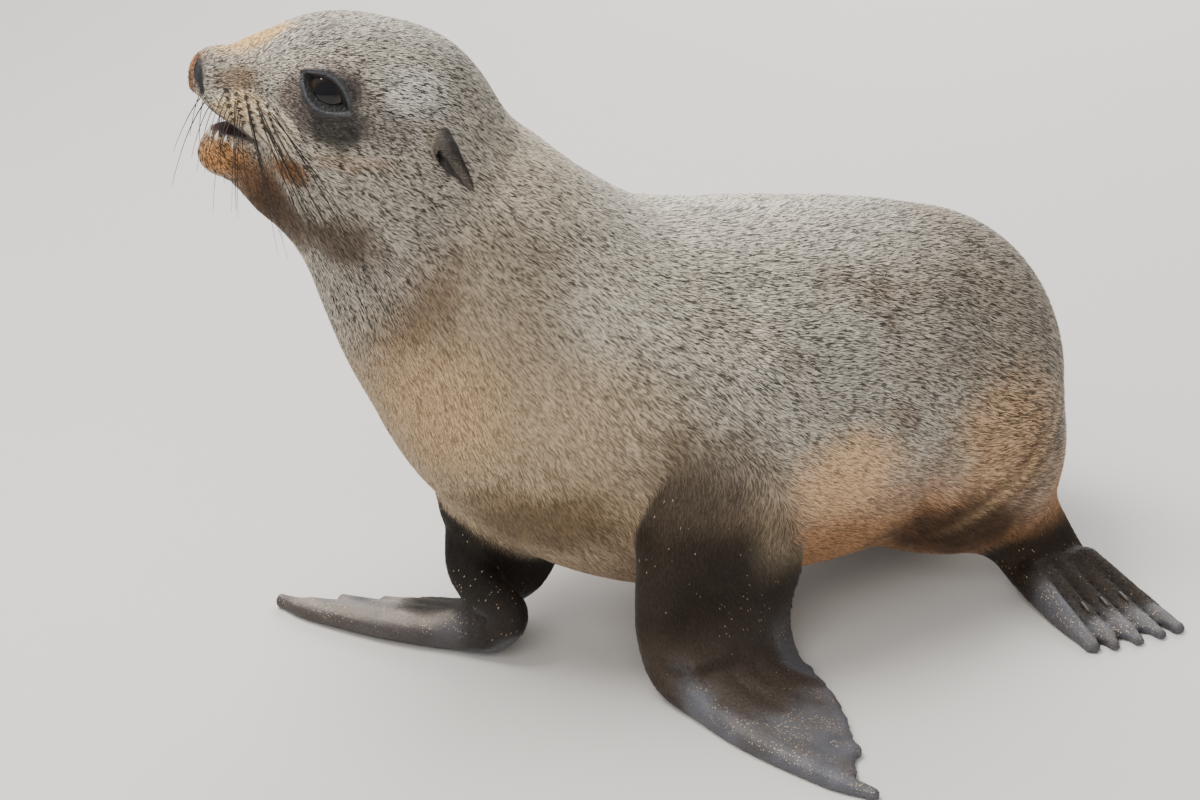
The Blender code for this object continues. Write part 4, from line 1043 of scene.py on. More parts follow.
        # the rump's folds: brown streaks, darkened as painted shade in each fold
        for middle, _ in RUMP_FOLDS:
            made = mixed(made, FOLD_BROWN_AND_SHADE, share * 0.6 * ridge(level, middle, 0.004))
        made = mixed(made, FOLD_PALE, share * 0.6 * ridge(level, 0.006, 0.0035))
        made = self.with_limbs(made, blotch)
        made *= (1 + 0.10 * fleck + 0.06 * blotch)[:, None]
        return self.with_bare(made)

    def with_limbs(self, made, blotch):
        """the dark fur of the limbs, dusty on the hands, the far arm darker still as painted
        shadow, and the fringe of the near arm
        """
        _, y, z = self.points.T
        height = z + 0.35 * (y - 0.02) + 0.006 * blotch
        dusty = fade(z + 0.004 * blotch, 0.022, 0.050)
        dark = mixed(plain(ARM_BLACK, len(z)), ARM_DUSTY, dusty)
        # the far arm's fur is darkened as painted shadow
        for limb, shade in zip(self.limb, ARM_TONE_AND_FAR_SHADE):
            made = mixed(made, dark * shade, limb * fade(height, 0.076, 0.150))
        rear = ramp(y + 0.004 * blotch, 0.026, 0.052) * ramp(z, 0.045, 0.085) * self.limb[0]
        made = mixed(made, FRINGE_GOLD, rear * 0.8 * fade(z, 0.12, 0.15))
        for limb in self.limb[2:]:
            made = mixed(made, ARM_BLACK, limb * fade(z, 0.026, 0.040))
        return made

    def with_streaks(self, made, fleck):
        """the whisker pad's pale streaks and dark follicles"""
        middle, radii, along, apart = STREAKS
        across = unit(np.cross(along, EYE_AIM))
        wave = np.cos(self.local @ across * (2 * np.pi / apart) + 0.8 * fleck)
        share = fade(away_from(self.local, middle, radii), 0.55, 1.1) * self.head
        made = mixed(made, STREAK_DARK, share * 0.5 * ramp(-wave, 0.6, 0.95))
        made = mixed(made, STREAK_PALE, share * 0.97 * ramp(wave, -0.85, -0.1))
        near = np.min([np.hypot(self.local[:, 0] - ahead, self.local[:, 2] - up)
                       for ahead, up, _ in WHISKER_ROOTS], 0)
        spots = fade(near, FOLLICLE, 1.7 * FOLLICLE) * (self.local[:, 1] > 1.2)
        return mixed(made, FOLLICLE_DARK, spots * self.head * 0.95)

    def with_bare(self, made):
        """the colours with those of the naked skin laid over them; painted sheen and shade on the
        far hand, painted shade deep in the mouth and in the toes' grooves
        """
        ahead, left, _ = self.local.T
        facing_up = self.normals[:, 2]
        patches = mottle(self.points, 0.018, 6) + 0.4 * mottle(self.points, 0.007, 7)
        naked = mixed(plain(SLATE, len(made)), FLIPPER_BROWN, 0.6 * ramp(patches, -0.3, 0.8))
        far = fade(self.points[:, 0], -0.02, 0.04)
        # paler where the skin faces up: a little dust on the near hand, and on the far hand mostly
        # a painted sheen of the light from above
        dusty = ramp(facing_up, 0.3, 0.95) * (0.08 + 0.55 * far) * ramp(patches, -1.0, 0.4)
        naked = mixed(naked, DUST_AND_SHEEN, dusty)
        # painted shade: the far hand darker where it does not face up
        naked = mixed(naked, FLIPPER_BROWN, far * fade(facing_up, 0.3, 0.85) * 0.8)
        naked = mixed(naked, NOSE_BLACK, self.head)
        naked = mixed(naked, LID_DARK, fade(self.from_slit, -0.06, 0.0) * self.head)
        rim = fade(np.abs(self.from_slit - 0.01), 0.01, 0.04) * self.by_eye
        naked = mixed(naked, LID_RIM, rim * self.head)
        naked = mixed(naked, EAR_HOLLOW, fade(self.from_ear, 0.03, 0.12))
        mouth = self.lip * ramp(ahead, 4.6, 5.6)
        naked = mixed(naked, MOUTH_RED, mouth * (1 - self.outer_lip()) * 0.8)
        # painted shade: the inside of the mouth darker towards its back
        naked = mixed(naked, MOUTH_PAINTED_SHADE, mouth * fade(ahead - 0.8 * np.abs(left), 5.0, 7.2) * 0.9)
        naked *= (1 + 0.15 * mottle(self.points, 0.008, 7))[:, None]
        made = mixed(made, naked, self.bare)
        # painted shade in the grooves between the toes of the hind flippers
        return mixed(made, GROOVE_PAINTED_SHADE, 0.85 * toe_groove(self.points))

    def outer_lip(self):
        """1 on the outside of the lips, 0 inside the mouth"""
        outward = (self.normals @ HEAD_AXES.T)[:, 1] * np.sign(body_to_head(self.points)[:, 1])
        return ramp(outward + 0.6 * ramp(self.local[:, 0], 7.6, 8.4), 0.15, 0.5)


# ---- coat: tufts of four triangles, rooted just under the skin ----
TUFTS_MOST = 46500           # on one piece
SAND = (0.480, 0.360, 0.240)
SANDY = 0.050                # share of the limbs' tufts with a grain of sand, where it clings
PATCH = 0.003                # a tuft's width and length on the coat's map
NOSE_TIP = (9.6, 0.0, 1.6)
TAIL_ROOT = (0.0, 0.250, 0.060)
NECK_END = 0.42              # shares of the body's length
RUMP_START = 0.90
# length, width and rise of a tuft on the body and on the face, metres; what the muzzle and
# the limbs take off and the fringe of the near arm adds; and the shares lids and ears take off
BODY_TUFT = np.array((0.0035, 0.00095, 0.0010))
FACE_TUFT = np.array((0.0027, 0.00068, 0.0007))
MUZZLE_LESS = (0.0009, 0.00014, 0.0002)
LIMB_LESS = (0.0012, 0.00030, 0.0006)
FRINGE_MORE = (0.0040, 0.0, 0.0012)
LID_SHARES = (0.45, 0.0, 0.50)
EAR_SHARES = (0.50, 0.30, 0.75)
PALE_SHARE = 0.58            # share of the tufts with a pale tip
TIP_HUE = (1.0, 0.98, 0.92)
# coat pieces: tufts for each square millimetre
DENSITY = {"coat_head_left": 3.0, "coat_head_right": 3.0, "coat_neck_left": 2.0,
           "coat_neck_right": 2.0, "coat_trunk_left": 1.6, "coat_trunk_right": 1.6,
           "coat_rump": 1.6, "coat_limbs": 1.4}


def lie(ground):
    """the direction in which the hairs lie at each point"""
    points = ground.points
    flow = ground.tangent + np.array((0, 0, -0.30)) * ramp(ground.along, 0.1, 0.5)[:, None]
    rump = ramp(ground.along, 0.80, 1.0)[:, None]
    flow = unit_rows(flow) * (1 - rump) + unit_rows(np.array(TAIL_ROOT) - points) * rump
    local = body_to_head(points)
    head = unit_rows(local - np.array(NOSE_TIP)) + np.array((-0.3, 0, -0.15))
    head = unit_rows(head) @ HEAD_AXES
    share = ground.head[:, None]
    flow = flow * (1 - share) + head * share
    for limb, along in zip(ground.limb, ground.flow):
        share = (limb * fade(points[:, 2], 0.10, 0.15))[:, None]
        flow = flow * (1 - share) + along * share
    swirl = np.stack([mottle(points, 0.030, seed) for seed in (11, 12, 13)], 1)
    flow = unit_rows(flow) + 0.22 * swirl
    return unit_rows(flow - ground.normals * (flow * ground.normals).sum(1, keepdims=True))


def coat_region(ground):
    """the name of the coat piece that each point belongs to"""
    side = np.where(ground.points[:, 0] > -0.002, "left", "right")
    name = np.where(ground.along < NECK_END, np.char.add("coat_neck_", side),
                    np.char.add("coat_trunk_", side))
    name = np.where(ground.along >= RUMP_START, "coat_rump", name)
    name = np.where(ground.limbs * (ground.points[:, 2] < 0.105) > 0.5, "coat_limbs", name)
    head_side = np.where(body_to_head(ground.points)[:, 1] > 0, "left", "right")
    return np.where(ground.head > 0.35, np.char.add("coat_head_", head_side), name)


def scattered(vertices, normals, faces, wanted, rng):
    """random places on the skin and their normals, so many on each face as are wanted"""
    sums = np.cumsum(wanted)
    count = int(sums[-1])
    steps = (np.arange(count) + rng.random(count)) * sums[-1] / count
    face = np.minimum(np.searchsorted(sums, steps), len(faces) - 1)
    u, v = rng.random(count), rng.random(count)
    over = u + v > 1
    u[over], v[over] = 1 - u[over], 1 - v[over]
    parts = [1 - u - v, u, v]
    place = sum(vertices[faces[face, k]] * parts[k][:, None] for k in range(3))
    facing = sum(normals[faces[face, k]] * parts[k][:, None] for k in range(3))
    return place, unit_rows(facing)


def tuft_size(ground, rng):
    """length, width and rise of each tuft, metres"""
    _, y, z = ground.points.T
    face = ground.head
    muzzle = face * ramp(ground.local[:, 0], 2.5, 6.5)
    lids = fade(ground.from_slit, 0.3, 1.2) * ground.by_eye
    ear = fade(ground.from_ear, 0.05, 0.25)
    limb = ground.limbs * fade(z, 0.06, 0.13)
    fringe = ramp(y, 0.036, 0.048) * ramp(z, 0.05, 0.07) * fade(z, 0.11, 0.13) * ground.limb[0]
    size = BODY_TUFT + (np.outer(face, FACE_TUFT - BODY_TUFT) - np.outer(muzzle, MUZZLE_LESS))
    size *= (1 - np.outer(lids, LID_SHARES)) * (1 - np.outer(ear, EAR_SHARES))
    size += np.outer(fringe, FRINGE_MORE) - np.outer(limb, LIMB_LESS)
    length, width, rise = size.T
    uneven = rng.uniform(0.75, 1.25, len(size))
    return length * uneven, width * rng.uniform(0.8, 1.2, len(size)), rise * uneven


def coat_map(ground, name):
    """each root's place on an unwrap of the skin: round the body, and along it"""
    if name.startswith("coat_head"):
        local = body_to_head(ground.points)
        round_it = np.arctan2(np.abs(local[:, 1]), local[:, 2] - 0.5) / np.pi
        along = (9.5 - local[:, 0]) / 17.0
    elif name == "coat_limbs":
        round_it = np.zeros(len(ground.points))
        along = np.zeros(len(ground.points))
        for i, limb in enumerate(LIMBS):
            mine = ground.limb[i] >= ground.limbs
            place, _, across, up, _ = limb[0][0].local(ground.points[mine])
            turn = np.arctan2(across, up * 3) / (2 * np.pi) + 0.5
            round_it[mine] = (i % 2 + 0.04 + 0.92 * turn) / 2
            along[mine] = (i // 2 + 0.04 + 0.92 * place / limb[0][0].count) / 2
    elif name == "coat_rump":
        away = ground.points - np.array((0, 0.24, 0.09))
        tilt = np.arctan2(np.linalg.norm(away[:, ::2], axis=1), away[:, 1] + 0.08)
        turn = np.arctan2(away[:, 0], away[:, 2])
        round_it = 0.5 + 0.30 * tilt * np.sin(turn)
        along = 0.5 + 0.30 * tilt * np.cos(turn)
    else:
        round_it = np.abs(ground.angle) / np.pi
        start, stop = (NECK_END, RUMP_START) if "trunk" in name else (0.0, NECK_END)
        along = (ground.along - start) / (stop - start)
    return np.stack([0.01 + 0.98 * np.clip(round_it, 0, 1),
                     0.01 + 0.975 * np.clip(along, 0, 1)], 1)


def tuft_colours(ground, rng):
    """colours at the root and the tip of each tuft, and which tufts hold a grain of sand"""
    mean = ground.colour()
    lightness = mean.mean(1)
    contrast = 0.42 + 0.58 * ramp(lightness, 0.05, 0.25) - 0.45 * ramp(lightness, 0.60, 0.85)
    smooth = (1 - ground.head) * fade(ground.top, -0.5, 0.5)
    contrast *= 1 + 0.35 * ground.head - 0.50 * smooth
    pale = rng.random(len(mean)) < PALE_SHARE
    amount = np.where(pale, rng.uniform(0.2, 1.1, len(mean)), -rng.uniform(0.3, 1.1, len(mean)))
    tip = mean * np.maximum(0.08, 1 + contrast * amount)[:, None]
    tip += np.outer(pale * amount * contrast * 0.05, TIP_HUE)
    tip /= np.maximum(1, tip.max(1))[:, None]
    deep = 0.40 + 0.35 * ramp(lightness, 0.50, 0.75)
    root = mean * (deep + 0.25 * amount * contrast)[:, None]
    height = ground.points[:, 2]
    cling = ramp(mottle(ground.points, 0.020, 8), -0.1, 0.7) * ramp(-height, -0.09, -0.03)
    sandy = rng.random(len(mean)) < SANDY * ground.limbs * (height < 0.11) * (0.06 + cling)
    tip[sandy] = root[sandy] = SAND
    return np.clip(root, 0, 1), np.clip(tip, 0, 1), sandy


def tuft_piece(name, ground, rng):
    """one coat piece"""
    flow = lie(ground)
    normals = ground.normals
    length, width, rise = tuft_size(ground, rng)
    dark, pale, sandy = tuft_colours(ground, rng)
    length[sandy] *= 0.40
    turn = rng.normal(0, 0.16, len(flow))[:, None]
    flow = unit_rows(flow + np.cross(flow, normals) * turn)
    side = np.cross(flow, normals)
    root = ground.points - normals * (0.25 * width)[:, None]
    half = (side * width[:, None]) / 2
    corners = [root - half, root + half, root + normals * (0.5 * width)[:, None],
               ground.points + flow * length[:, None] + normals * rise[:, None]]
    for corner in corners:
        corner[:, 2] = np.maximum(corner[:, 2], FLOOR_GAP)
    points = np.stack(corners, 1).reshape(-1, 3)
    order = np.array([(0, 2, 3), (2, 1, 3), (1, 0, 3), (0, 1, 2)])
    faces = (np.arange(len(root))[:, None, None] * 4 + order).reshape(-1, 3)
    facing = np.stack([normals - 0.55 * side, normals + 0.55 * side, normals,
                       normals + 0.35 * flow], 1).reshape(-1, 3)
    middle = dark * 0.4 + pale * 0.6
    colour = np.stack([dark, dark, middle, pale], 1).reshape(-1, 3)
    patch = np.array([(-0.5, 0), (0.5, 0), (0, -0.3), (0, 0.7)]) * PATCH
    places = (coat_map(ground, name)[:, None, :] + patch).reshape(-1, 2)
    made = mesh_object(name, points, faces, colour)
    layer = made.data.uv_layers.new(name="OFBake")
    layer.data.foreach_set("uv", places[faces.reshape(-1)].astype(np.float32).reshape(-1))
    made.data.normals_split_custom_set_from_vertices(unit_rows(facing))
    return made


def coat_pieces(vertices, quads, normals, ground):
    """all the coat, region by region"""
    rng = np.random.default_rng(7)
    faces = np.vstack([quads[:, [0, 1, 2]], quads[:, [0, 2, 3]]])
    a, b, c = [vertices[faces[:, k]] for k in range(3)]
    area = np.linalg.norm(np.cross(b - a, c - a), axis=1) / 2
    furred = fade(ground.bare, 0.25, 0.75)
    region = coat_region(ground)
    made = []
    for name, density in DENSITY.items():
        wanted = (region == name) * furred * density * TUFT_SHARE
        total = (wanted[faces].mean(1) * area).sum() * 1e6
        wanted = wanted * min(1.0, TUFTS_MOST / max(total, 1))
        wanted = wanted[faces].mean(1) * area * 1e6
        places, facing = scattered(vertices, normals, faces, wanted, rng)
        made.append(tuft_piece(name, Ground(places, facing), rng))
    return made


# ---- meshes ----
def linked(name, data):
    """an object with the given data, in the scene"""
    made = bpy.data.objects.new(name, data)
    bpy.context.scene.collection.objects.link(made)
    return made


def mesh_object(name, points, faces, colours):
    """an object from points and faces of three or four corners, with a colour at each point"""
    mesh = bpy.data.meshes.new(name)
    sides = np.array([len(face) for face in faces], np.int32)
    mesh.vertices.add(len(points))
    mesh.vertices.foreach_set("co", (points + SHIFT).astype(np.float32).reshape(-1))
    mesh.loops.add(int(sides.sum()))
    mesh.loops.foreach_set("vertex_index", np.concatenate(faces).astype(np.int32))
    mesh.polygons.add(len(faces))
    mesh.polygons.foreach_set("loop_start", np.cumsum(sides, dtype=np.int32) - sides)
    mesh.polygons.foreach_set("use_smooth", np.ones(len(faces), bool))
    mesh.update(calc_edges=True)
    layer = mesh.color_attributes.new(name="tint", type="FLOAT_COLOR", domain="POINT")
    rows = np.hstack([colours, np.ones((len(colours), 1))]).astype(np.float32)
    layer.data.foreach_set("color", rows.reshape(-1))
    return linked(name, mesh)


def set_value(mesh, name, values):
    """a number on the points"""
    layer = mesh.attributes.new(name=name, type="FLOAT", domain="POINT")
    layer.data.foreach_set("value", values.astype(np.float32))


def tubes(name, paths, radii, colours, sides):
    """closed tubes along paths, joined into one mesh"""
    points, faces, tints = [], [], []
    turn = (np.arange(sides) * 2 * np.pi / sides)[None, :, None]
    pairs = [(j, (j + 1) % sides) for j in range(sides)]
    start = 0
    for path, radius, colour in zip(paths, radii, colours):
        along = unit_rows(np.gradient(path, axis=0))
        across = unit_rows(np.cross(along, (0.3, 0.1, 0.94)))
        up = np.cross(along, across)
        ring = (np.cos(turn) * across[:, None] + np.sin(turn) * up[:, None]) * radius[:, None, None]
        points += [(path[:, None] + ring).reshape(-1, 3), path[:1], path[-1:]]
        tints += [np.repeat(colour, sides, 0), colour[:1], colour[-1:]]
        last = start + (len(path) - 1) * sides
        faces += [(at + j, at + k, at + sides + k, at + sides + j)
                  for at in range(start, last, sides) for j, k in pairs]
        faces += [(start + k, start + j, last + sides) for j, k in pairs]
        faces += [(last + j, last + k, last + sides + 1) for j, k in pairs]
        start = last + sides + 2
    return mesh_object(name, np.vstack(points), faces, np.vstack(tints))


# ---- eyes, teeth, claws, whiskers ----
PUPIL = 0.42                 # radius as an angle from the middle of the eye, radians
IRIS = 0.66
EYE_SHARE = 0.992            # the ball's radius as a share of the socket's
CORNEA_RISE = 0.045
EYE_RINGS = 60
EYE_SIDES = 96
EYE_BROWN = (0.02, 0.014, 0.010)
SIDES = ((1, "left"), (-1, "right"))
# lower teeth: forward, left, height above the gum, radius; in the head's centimetres
TEETH = [(7.90, 0.20, 0.24, 0.085),
         (7.82, 0.50, 0.26, 0.085),
         (7.52, 0.86, 0.38, 0.11),
         (7.12, 1.04, 0.24, 0.09),
         (6.72, 1.16, 0.36, 0.12)]
CLAW_PLACE = 0.056
CLAW_LENGTH = 0.0075
CLAW_RADIUS = 0.0013
CLAW_DARK = (0.035, 0.028, 0.026)
CLAW_PALE = (0.080, 0.062, 0.052)
TOOTH_ROOT = (0.46, 0.36, 0.22)
TOOTH_WHITE = (0.80, 0.75, 0.64)
WHISKER_DARK = np.array((0.010, 0.007, 0.006))
FAR_WHISKERS = 0.40          # how much further forward the far side's whiskers point
FAR_LONGER = 0.75            # and how much longer and thicker the front ones are
WHISKER_RADIUS = 0.00030


def eyeball(side, name):
    """an eye with a bulging cornea; side is 1 for the left and -1 for the right"""
    aim = EYE_AXES[0].astype(float)
    across = unit(np.cross(aim, (0, 0, 1)))
    up = np.cross(aim, across)
    tilts = np.pi * np.arange(1, EYE_RINGS) / EYE_RINGS
    turn = np.tile(2 * np.pi * np.arange(EYE_SIDES) / EYE_SIDES, EYE_RINGS - 1)
    tilt = np.append(np.repeat(tilts, EYE_SIDES), (0.0, np.pi))[:, None]
    turn = np.append(turn, (0.0, 0.0))[:, None]
    ring = across * np.cos(turn) + up * np.sin(turn)
    radius = EYE_RADIUS * (EYE_SHARE + CORNEA_RISE * np.exp(-(tilt / 0.55) ** 2))
    places = radius * (aim * np.cos(tilt) + ring * np.sin(tilt)) + np.array(EYE)
    places[:, 1] *= side
    front, back, last = len(tilt) - 2, len(tilt) - 1, (EYE_RINGS - 2) * EYE_SIDES
    faces = []
    for j in range(EYE_SIDES):
        k = (j + 1) % EYE_SIDES
        faces += [(front, j, k), (back, last + k, last + j)]
        faces += [(a + k, a + j, a + EYE_SIDES + j, a + EYE_SIDES + k)
                  for a in range(0, last, EYE_SIDES)]
    made = mesh_object("eye_ball_" + name, head_to_body(places), [face[::side] for face in faces],
                       plain(EYE_BROWN, len(places)))
    set_value(made.data, "spread", tilt[:, 0])
    return made


def gum_height(ahead, left):
    """height of the lower jaw's upper side, in the head's centimetres"""
    up = np.linspace(-1.6, 0.2, 60)
    line = head_to_body(np.stack([np.full(60, ahead), np.full(60, left), up], 1))
    return up[np.argmin(skin_field(line.astype(FLOAT)) < 0)]


def teeth():
    """the small teeth of the lower jaw, curved a little backward"""
    paths, radii, colours = [], [], []
    part = np.linspace(0, 1, 9)
    for ahead, left, height, radius in TEETH:
        gum = gum_height(ahead, left)
        for side in (1, -1):
            path = np.stack([ahead + 0.05 * part - 0.10 * part ** 2,
                             side * (left + 0.04 * part),
                             gum - 0.12 + (height + 0.12) * part], 1)
            paths.append(head_to_body(path))
            radii.append(0.01 * radius * (1 - 0.88 * part ** 1.6))
            colours.append(mixed(plain(TOOTH_ROOT, len(part)), TOOTH_WHITE, ramp(part, 0.0, 0.5)))
    return tubes("teeth", paths, radii, colours, 10)


def skin_height(points):
    """height of the skin under places given by x and y"""
    low = np.zeros(len(points))
    high = np.full(len(points), 0.05)
    for _ in range(16):
        middle = (low + high) / 2
        inside = skin_field(np.column_stack([points[:, :2], middle]).astype(FLOAT)) < 0
        low = np.where(inside, middle, low)
        high = np.where(inside, high, middle)
    return low


def claws(side, name):
    """small curved nails on the middle digits of a hind flipper, with their nodes' names"""
    start, heading = hind_place(side)
    start = np.array([*start, 0.0])
    out, back = floor_axes(heading)
    part = np.linspace(0, 1, 10)
    far = CLAW_PLACE + CLAW_LENGTH * part
    radius = CLAW_RADIUS * np.sqrt(np.clip(1 - part ** 2.5, 0.01, 1)) * (0.75 + 0.25 * part)
    colour = mixed(plain(CLAW_DARK, len(part)), CLAW_PALE, ramp(part, 0.4, 0.9))
    made = []
    for digit in (1, 2, 3):
        base, tip, length, _ = TOES[digit]
        reach = far / length
        path = start + out * far[:, None] + back * (base * (1 - reach) + tip * reach)[:, None]
        path[:, 2] = skin_height(path) + CLAW_RADIUS * (0.45 + 0.5 * part - 0.5 * part ** 2)
        label = "%s_%d" % (name, digit + 1)
        made.append((tubes("nail_" + label, [path], [radius], [colour], 12), "claw_" + label))
    return made


def whiskers(side, name, rng):
    """whiskers that leave the pad outward and droop; they are longest at the pad's rear"""
    paths, radii, colours = [], [], []
    level = np.linspace(0.4, 4.5, 42)
    part = np.linspace(0, 1, 16)[:, None]
    for ahead, up, i in WHISKER_ROOTS:
        line = np.stack([np.full(42, ahead), side * level, np.full(42, up)], 1)
        world = head_to_body(line)
        inside = skin_field(world.astype(FLOAT)) < 0
        root = world[max(0, int(inside.sum()) - 1)]
        longer = 1 + FAR_LONGER * (side < 0) * max(0.0, 1 - i / 3)
        length = rng.uniform(0.9, 1.15) * (0.026 + 0.010 * i) * longer
        outward = HEAD_AXES[1] * side * rng.uniform(0.45, 0.80)
        more = FAR_WHISKERS * (side < 0)
        forward = HEAD_AXES[0] * (0.25 + more - 0.17 * i + rng.uniform(-0.10, 0.10))
        start = unit(outward + forward + np.array((0, 0, -0.35)))
        fall = np.array((0, 0, -1.0)) + (0.16 * i - 0.10) * unit(-HEAD_AXES[0])
        fall = fall + 0.12 * rng.normal(size=3)
        droop = rng.uniform(0.75, 1.1)
        path = root + start * length * (part - 0.45 * droop * part ** 2)
        paths.append(path + fall * length * droop * (0.15 * part + 0.75 * part ** 2))
        thick = WHISKER_RADIUS * (0.80 + 0.07 * i) * longer
        radii.append(thick * (1 - 0.75 * part[:, 0] ** 1.3))
        colours.append(plain(WHISKER_DARK * rng.uniform(1, 3), len(part)))
    return tubes("whiskers_" + name, paths, radii, colours, 5)


# ---- materials ----
SPECK_LEVEL = 0.72           # a cell holds a grain of sand if its random number is higher
SPECK_RADIUS = 0.42          # as a share of a cell
# colours of the eye outward from its middle, by the angle
EYE_COLOURS = [(0.0, (0.003, 0.003, 0.004)), (PUPIL - 0.03, (0.004, 0.003, 0.004)),
               (PUPIL + 0.02, (0.014, 0.009, 0.006)), (IRIS - 0.05, (0.024, 0.015, 0.010)),
               (IRIS + 0.04, (0.008, 0.007, 0.007)), (0.95, (0.030, 0.027, 0.028))]


def feed(tree, node, inputs):
    """a node with its inputs set; each may be a value or another node's socket"""
    for key, value in inputs.items():
        if isinstance(value, bpy.types.NodeSocket):
            tree.links.new(value, node.inputs[key])
        else:
            node.inputs[key].default_value = value
    return node


def add(tree, kind, inputs, **settings):
    """a new node with its settings and inputs"""
    node = tree.nodes.new(kind)
    for key, value in settings.items():
        setattr(node, key, value)
    return feed(tree, node, inputs)


def material(name, look):
    """a material; look gives its shader's inputs, from the node tree"""
    made = bpy.data.materials.new(name)
    made.use_nodes = True
    tree = made.node_tree
    feed(tree, tree.nodes["Principled BSDF"], look(tree))
    return made


def object_place(tree):
    """the place on the object"""
    return add(tree, "ShaderNodeTexCoord", {}).outputs["Object"]


def noise(tree, scale, detail=3.0):
    """smooth noise; it lies between about 0.3 and 0.7"""
    inputs = {"Vector": object_place(tree), "Scale": scale, "Detail": detail, "Roughness": 0.6}
    return add(tree, "ShaderNodeTexNoise", inputs).outputs["Fac"]


def spread(tree, value, to_low, to_high, low=0.3, high=0.7):
    """a number from low to high, drawn out to lie from to_low to to_high"""
    return add(tree, "ShaderNodeMapRange", {"Value": value, "From Min": low, "From Max": high,
                                            "To Min": to_low, "To Max": to_high}).outputs[0]


def math(tree, operation, first, second):
    """two numbers put together"""
    return add(tree, "ShaderNodeMath", {0: first, 1: second}, operation=operation).outputs[0]


def attribute(tree, name, output="Fac"):
    """what a point of the mesh holds"""
    return add(tree, "ShaderNodeAttribute", {}, attribute_name=name).outputs[output]


def shaded(tree, colour, strength):
    """a colour made lighter or darker by a number"""
    return add(tree, "ShaderNodeMix", {0: 1.0, "A": colour, "B": strength}, data_type="RGBA",
               blend_type="MULTIPLY").outputs["Result"]


def coat_look(tree):
    """fur: the tint with fine noise, a little sheen"""
    fine = spread(tree, noise(tree, 900.0, 2.0), 0.82, 1.15)
    return {"Base Color": shaded(tree, attribute(tree, "tint", "Color"), fine),
            "Roughness": spread(tree, noise(tree, 60.0), 0.50, 0.66),
            "Specular IOR Level": 0.30, "Sheen Weight": 0.06, "Sheen Roughness": 0.5}


def skin_look(tree):
    """skin: the tint with grain and patches, creases, and grains of sand on the hands"""
    grain = noise(tree, 1100.0)
    patch = spread(tree, noise(tree, 90.0), 0.85, 1.12)
    colour = shaded(tree, attribute(tree, "tint", "Color"), spread(tree, grain, 0.75, 1.25))
    colour = shaded(tree, colour, patch)
    speck = add(tree, "ShaderNodeTexVoronoi",
                {"Vector": object_place(tree), "Scale": 1300.0}).outputs
    some = math(tree, "GREATER_THAN", speck["Color"], SPECK_LEVEL)
    small = math(tree, "LESS_THAN", speck["Distance"], SPECK_RADIUS)
    strewn = math(tree, "MULTIPLY", math(tree, "MULTIPLY", some, small),
                  attribute(tree, "sandy"))
    strewn = math(tree, "MULTIPLY", strewn,
                  spread(tree, noise(tree, 70.0, 2.0), 0.0, 1.0, 0.44, 0.56))
    sand = add(tree, "ShaderNodeMix", {0: strewn, "A": colour, "B": (*SAND, 1)},
               data_type="RGBA").outputs["Result"]
    crease = add(tree, "ShaderNodeTexVoronoi", {"Vector": object_place(tree), "Scale": 420.0},
                 feature="DISTANCE_TO_EDGE").outputs["Distance"]
    height = math(tree, "ADD", grain, spread(tree, crease, 0.0, 1.0, 0.0, 0.25))
    bump = add(tree, "ShaderNodeBump", {"Strength": 0.35, "Distance": 0.0004, "Height": height})
    return {"Base Color": sand,
            "Roughness": spread(tree, attribute(tree, "bare"), 0.75, 0.56, 0.0, 1.0),
            "Normal": bump.outputs["Normal"], "Specular IOR Level": 0.45}


def eye_look(tree):
    """a wet eye: pupil, iris and white by the angle from the middle"""
    colours = add(tree, "ShaderNodeValToRGB", {"Fac": attribute(tree, "spread")})
    stops = colours.color_ramp.elements
    while len(stops) < len(EYE_COLOURS):
        stops.new(0.5)
    for stop, (angle, colour) in zip(stops, EYE_COLOURS):
        stop.position = angle
        stop.color = (*colour, 1)
    streaks = spread(tree, noise(tree, 900.0, 4.0), 0.7, 1.3)
    return {"Base Color": shaded(tree, colours.outputs["Color"], streaks), "Roughness": 0.06,
            "IOR": 1.33, "Coat Weight": 0.25, "Coat Roughness": 0.02}


def horn_look(rough, low, high, scale):
    """the look of teeth, claws and whiskers: the tint between low and high, by noise"""
    def look(tree):
        grain = noise(tree, scale)
        tint = attribute(tree, "tint", "Color")
        return {"Base Color": shaded(tree, tint, spread(tree, grain, low, high)),
                "Roughness": spread(tree, grain, rough - 0.06, rough + 0.06)}
    return look


def floor_look(tree):
    """a pale matt floor"""
    colour = add(tree, "ShaderNodeMix", {0: noise(tree, 3.0), "A": (0.66, 0.64, 0.61, 1),
                                         "B": (0.70, 0.68, 0.65, 1)}, data_type="RGBA")
    return {"Base Color": colour.outputs["Result"], "Roughness": 0.8}


# ---- room ----
CAMERA_TURN = 65.0           # degrees from the front towards the animal's left
CAMERA_RISE = 24.0
CAMERA_DISTANCE = 1.5
CAMERA_LENS = 90.0
AIM_HEIGHT = 0.12
FLOOR_SIZE = 6.0
SKY = (0.95, 0.97, 1.0, 1)
SKY_STRENGTH = 0.50
# lights: name, turn, rise, distance, size, power, colour, whether it shows in reflections
LIGHTS = [("key", -25, 66, 1.6, 0.8, 34.0, (1.0, 0.97, 0.92), True),
          ("fill", 50, 34, 2.2, 1.6, 30.0, (1.0, 0.97, 0.93), False),
          ("rim", 232, 30, 1.9, 1.4, 34.0, (1.0, 0.98, 0.96), True)]


def aimed(name, data, target, turn, rise, distance):
    """a camera or light that looks at the target from the given direction"""
    turn, rise = np.radians(turn), np.radians(rise)
    back = np.array([np.sin(turn) * np.cos(rise), -np.cos(turn) * np.cos(rise), np.sin(rise)])
    made = linked(name, data)
    made.location = target + back * distance
    made.rotation_euler = Vector(-back).to_track_quat("-Z", "Y").to_euler()
    return made


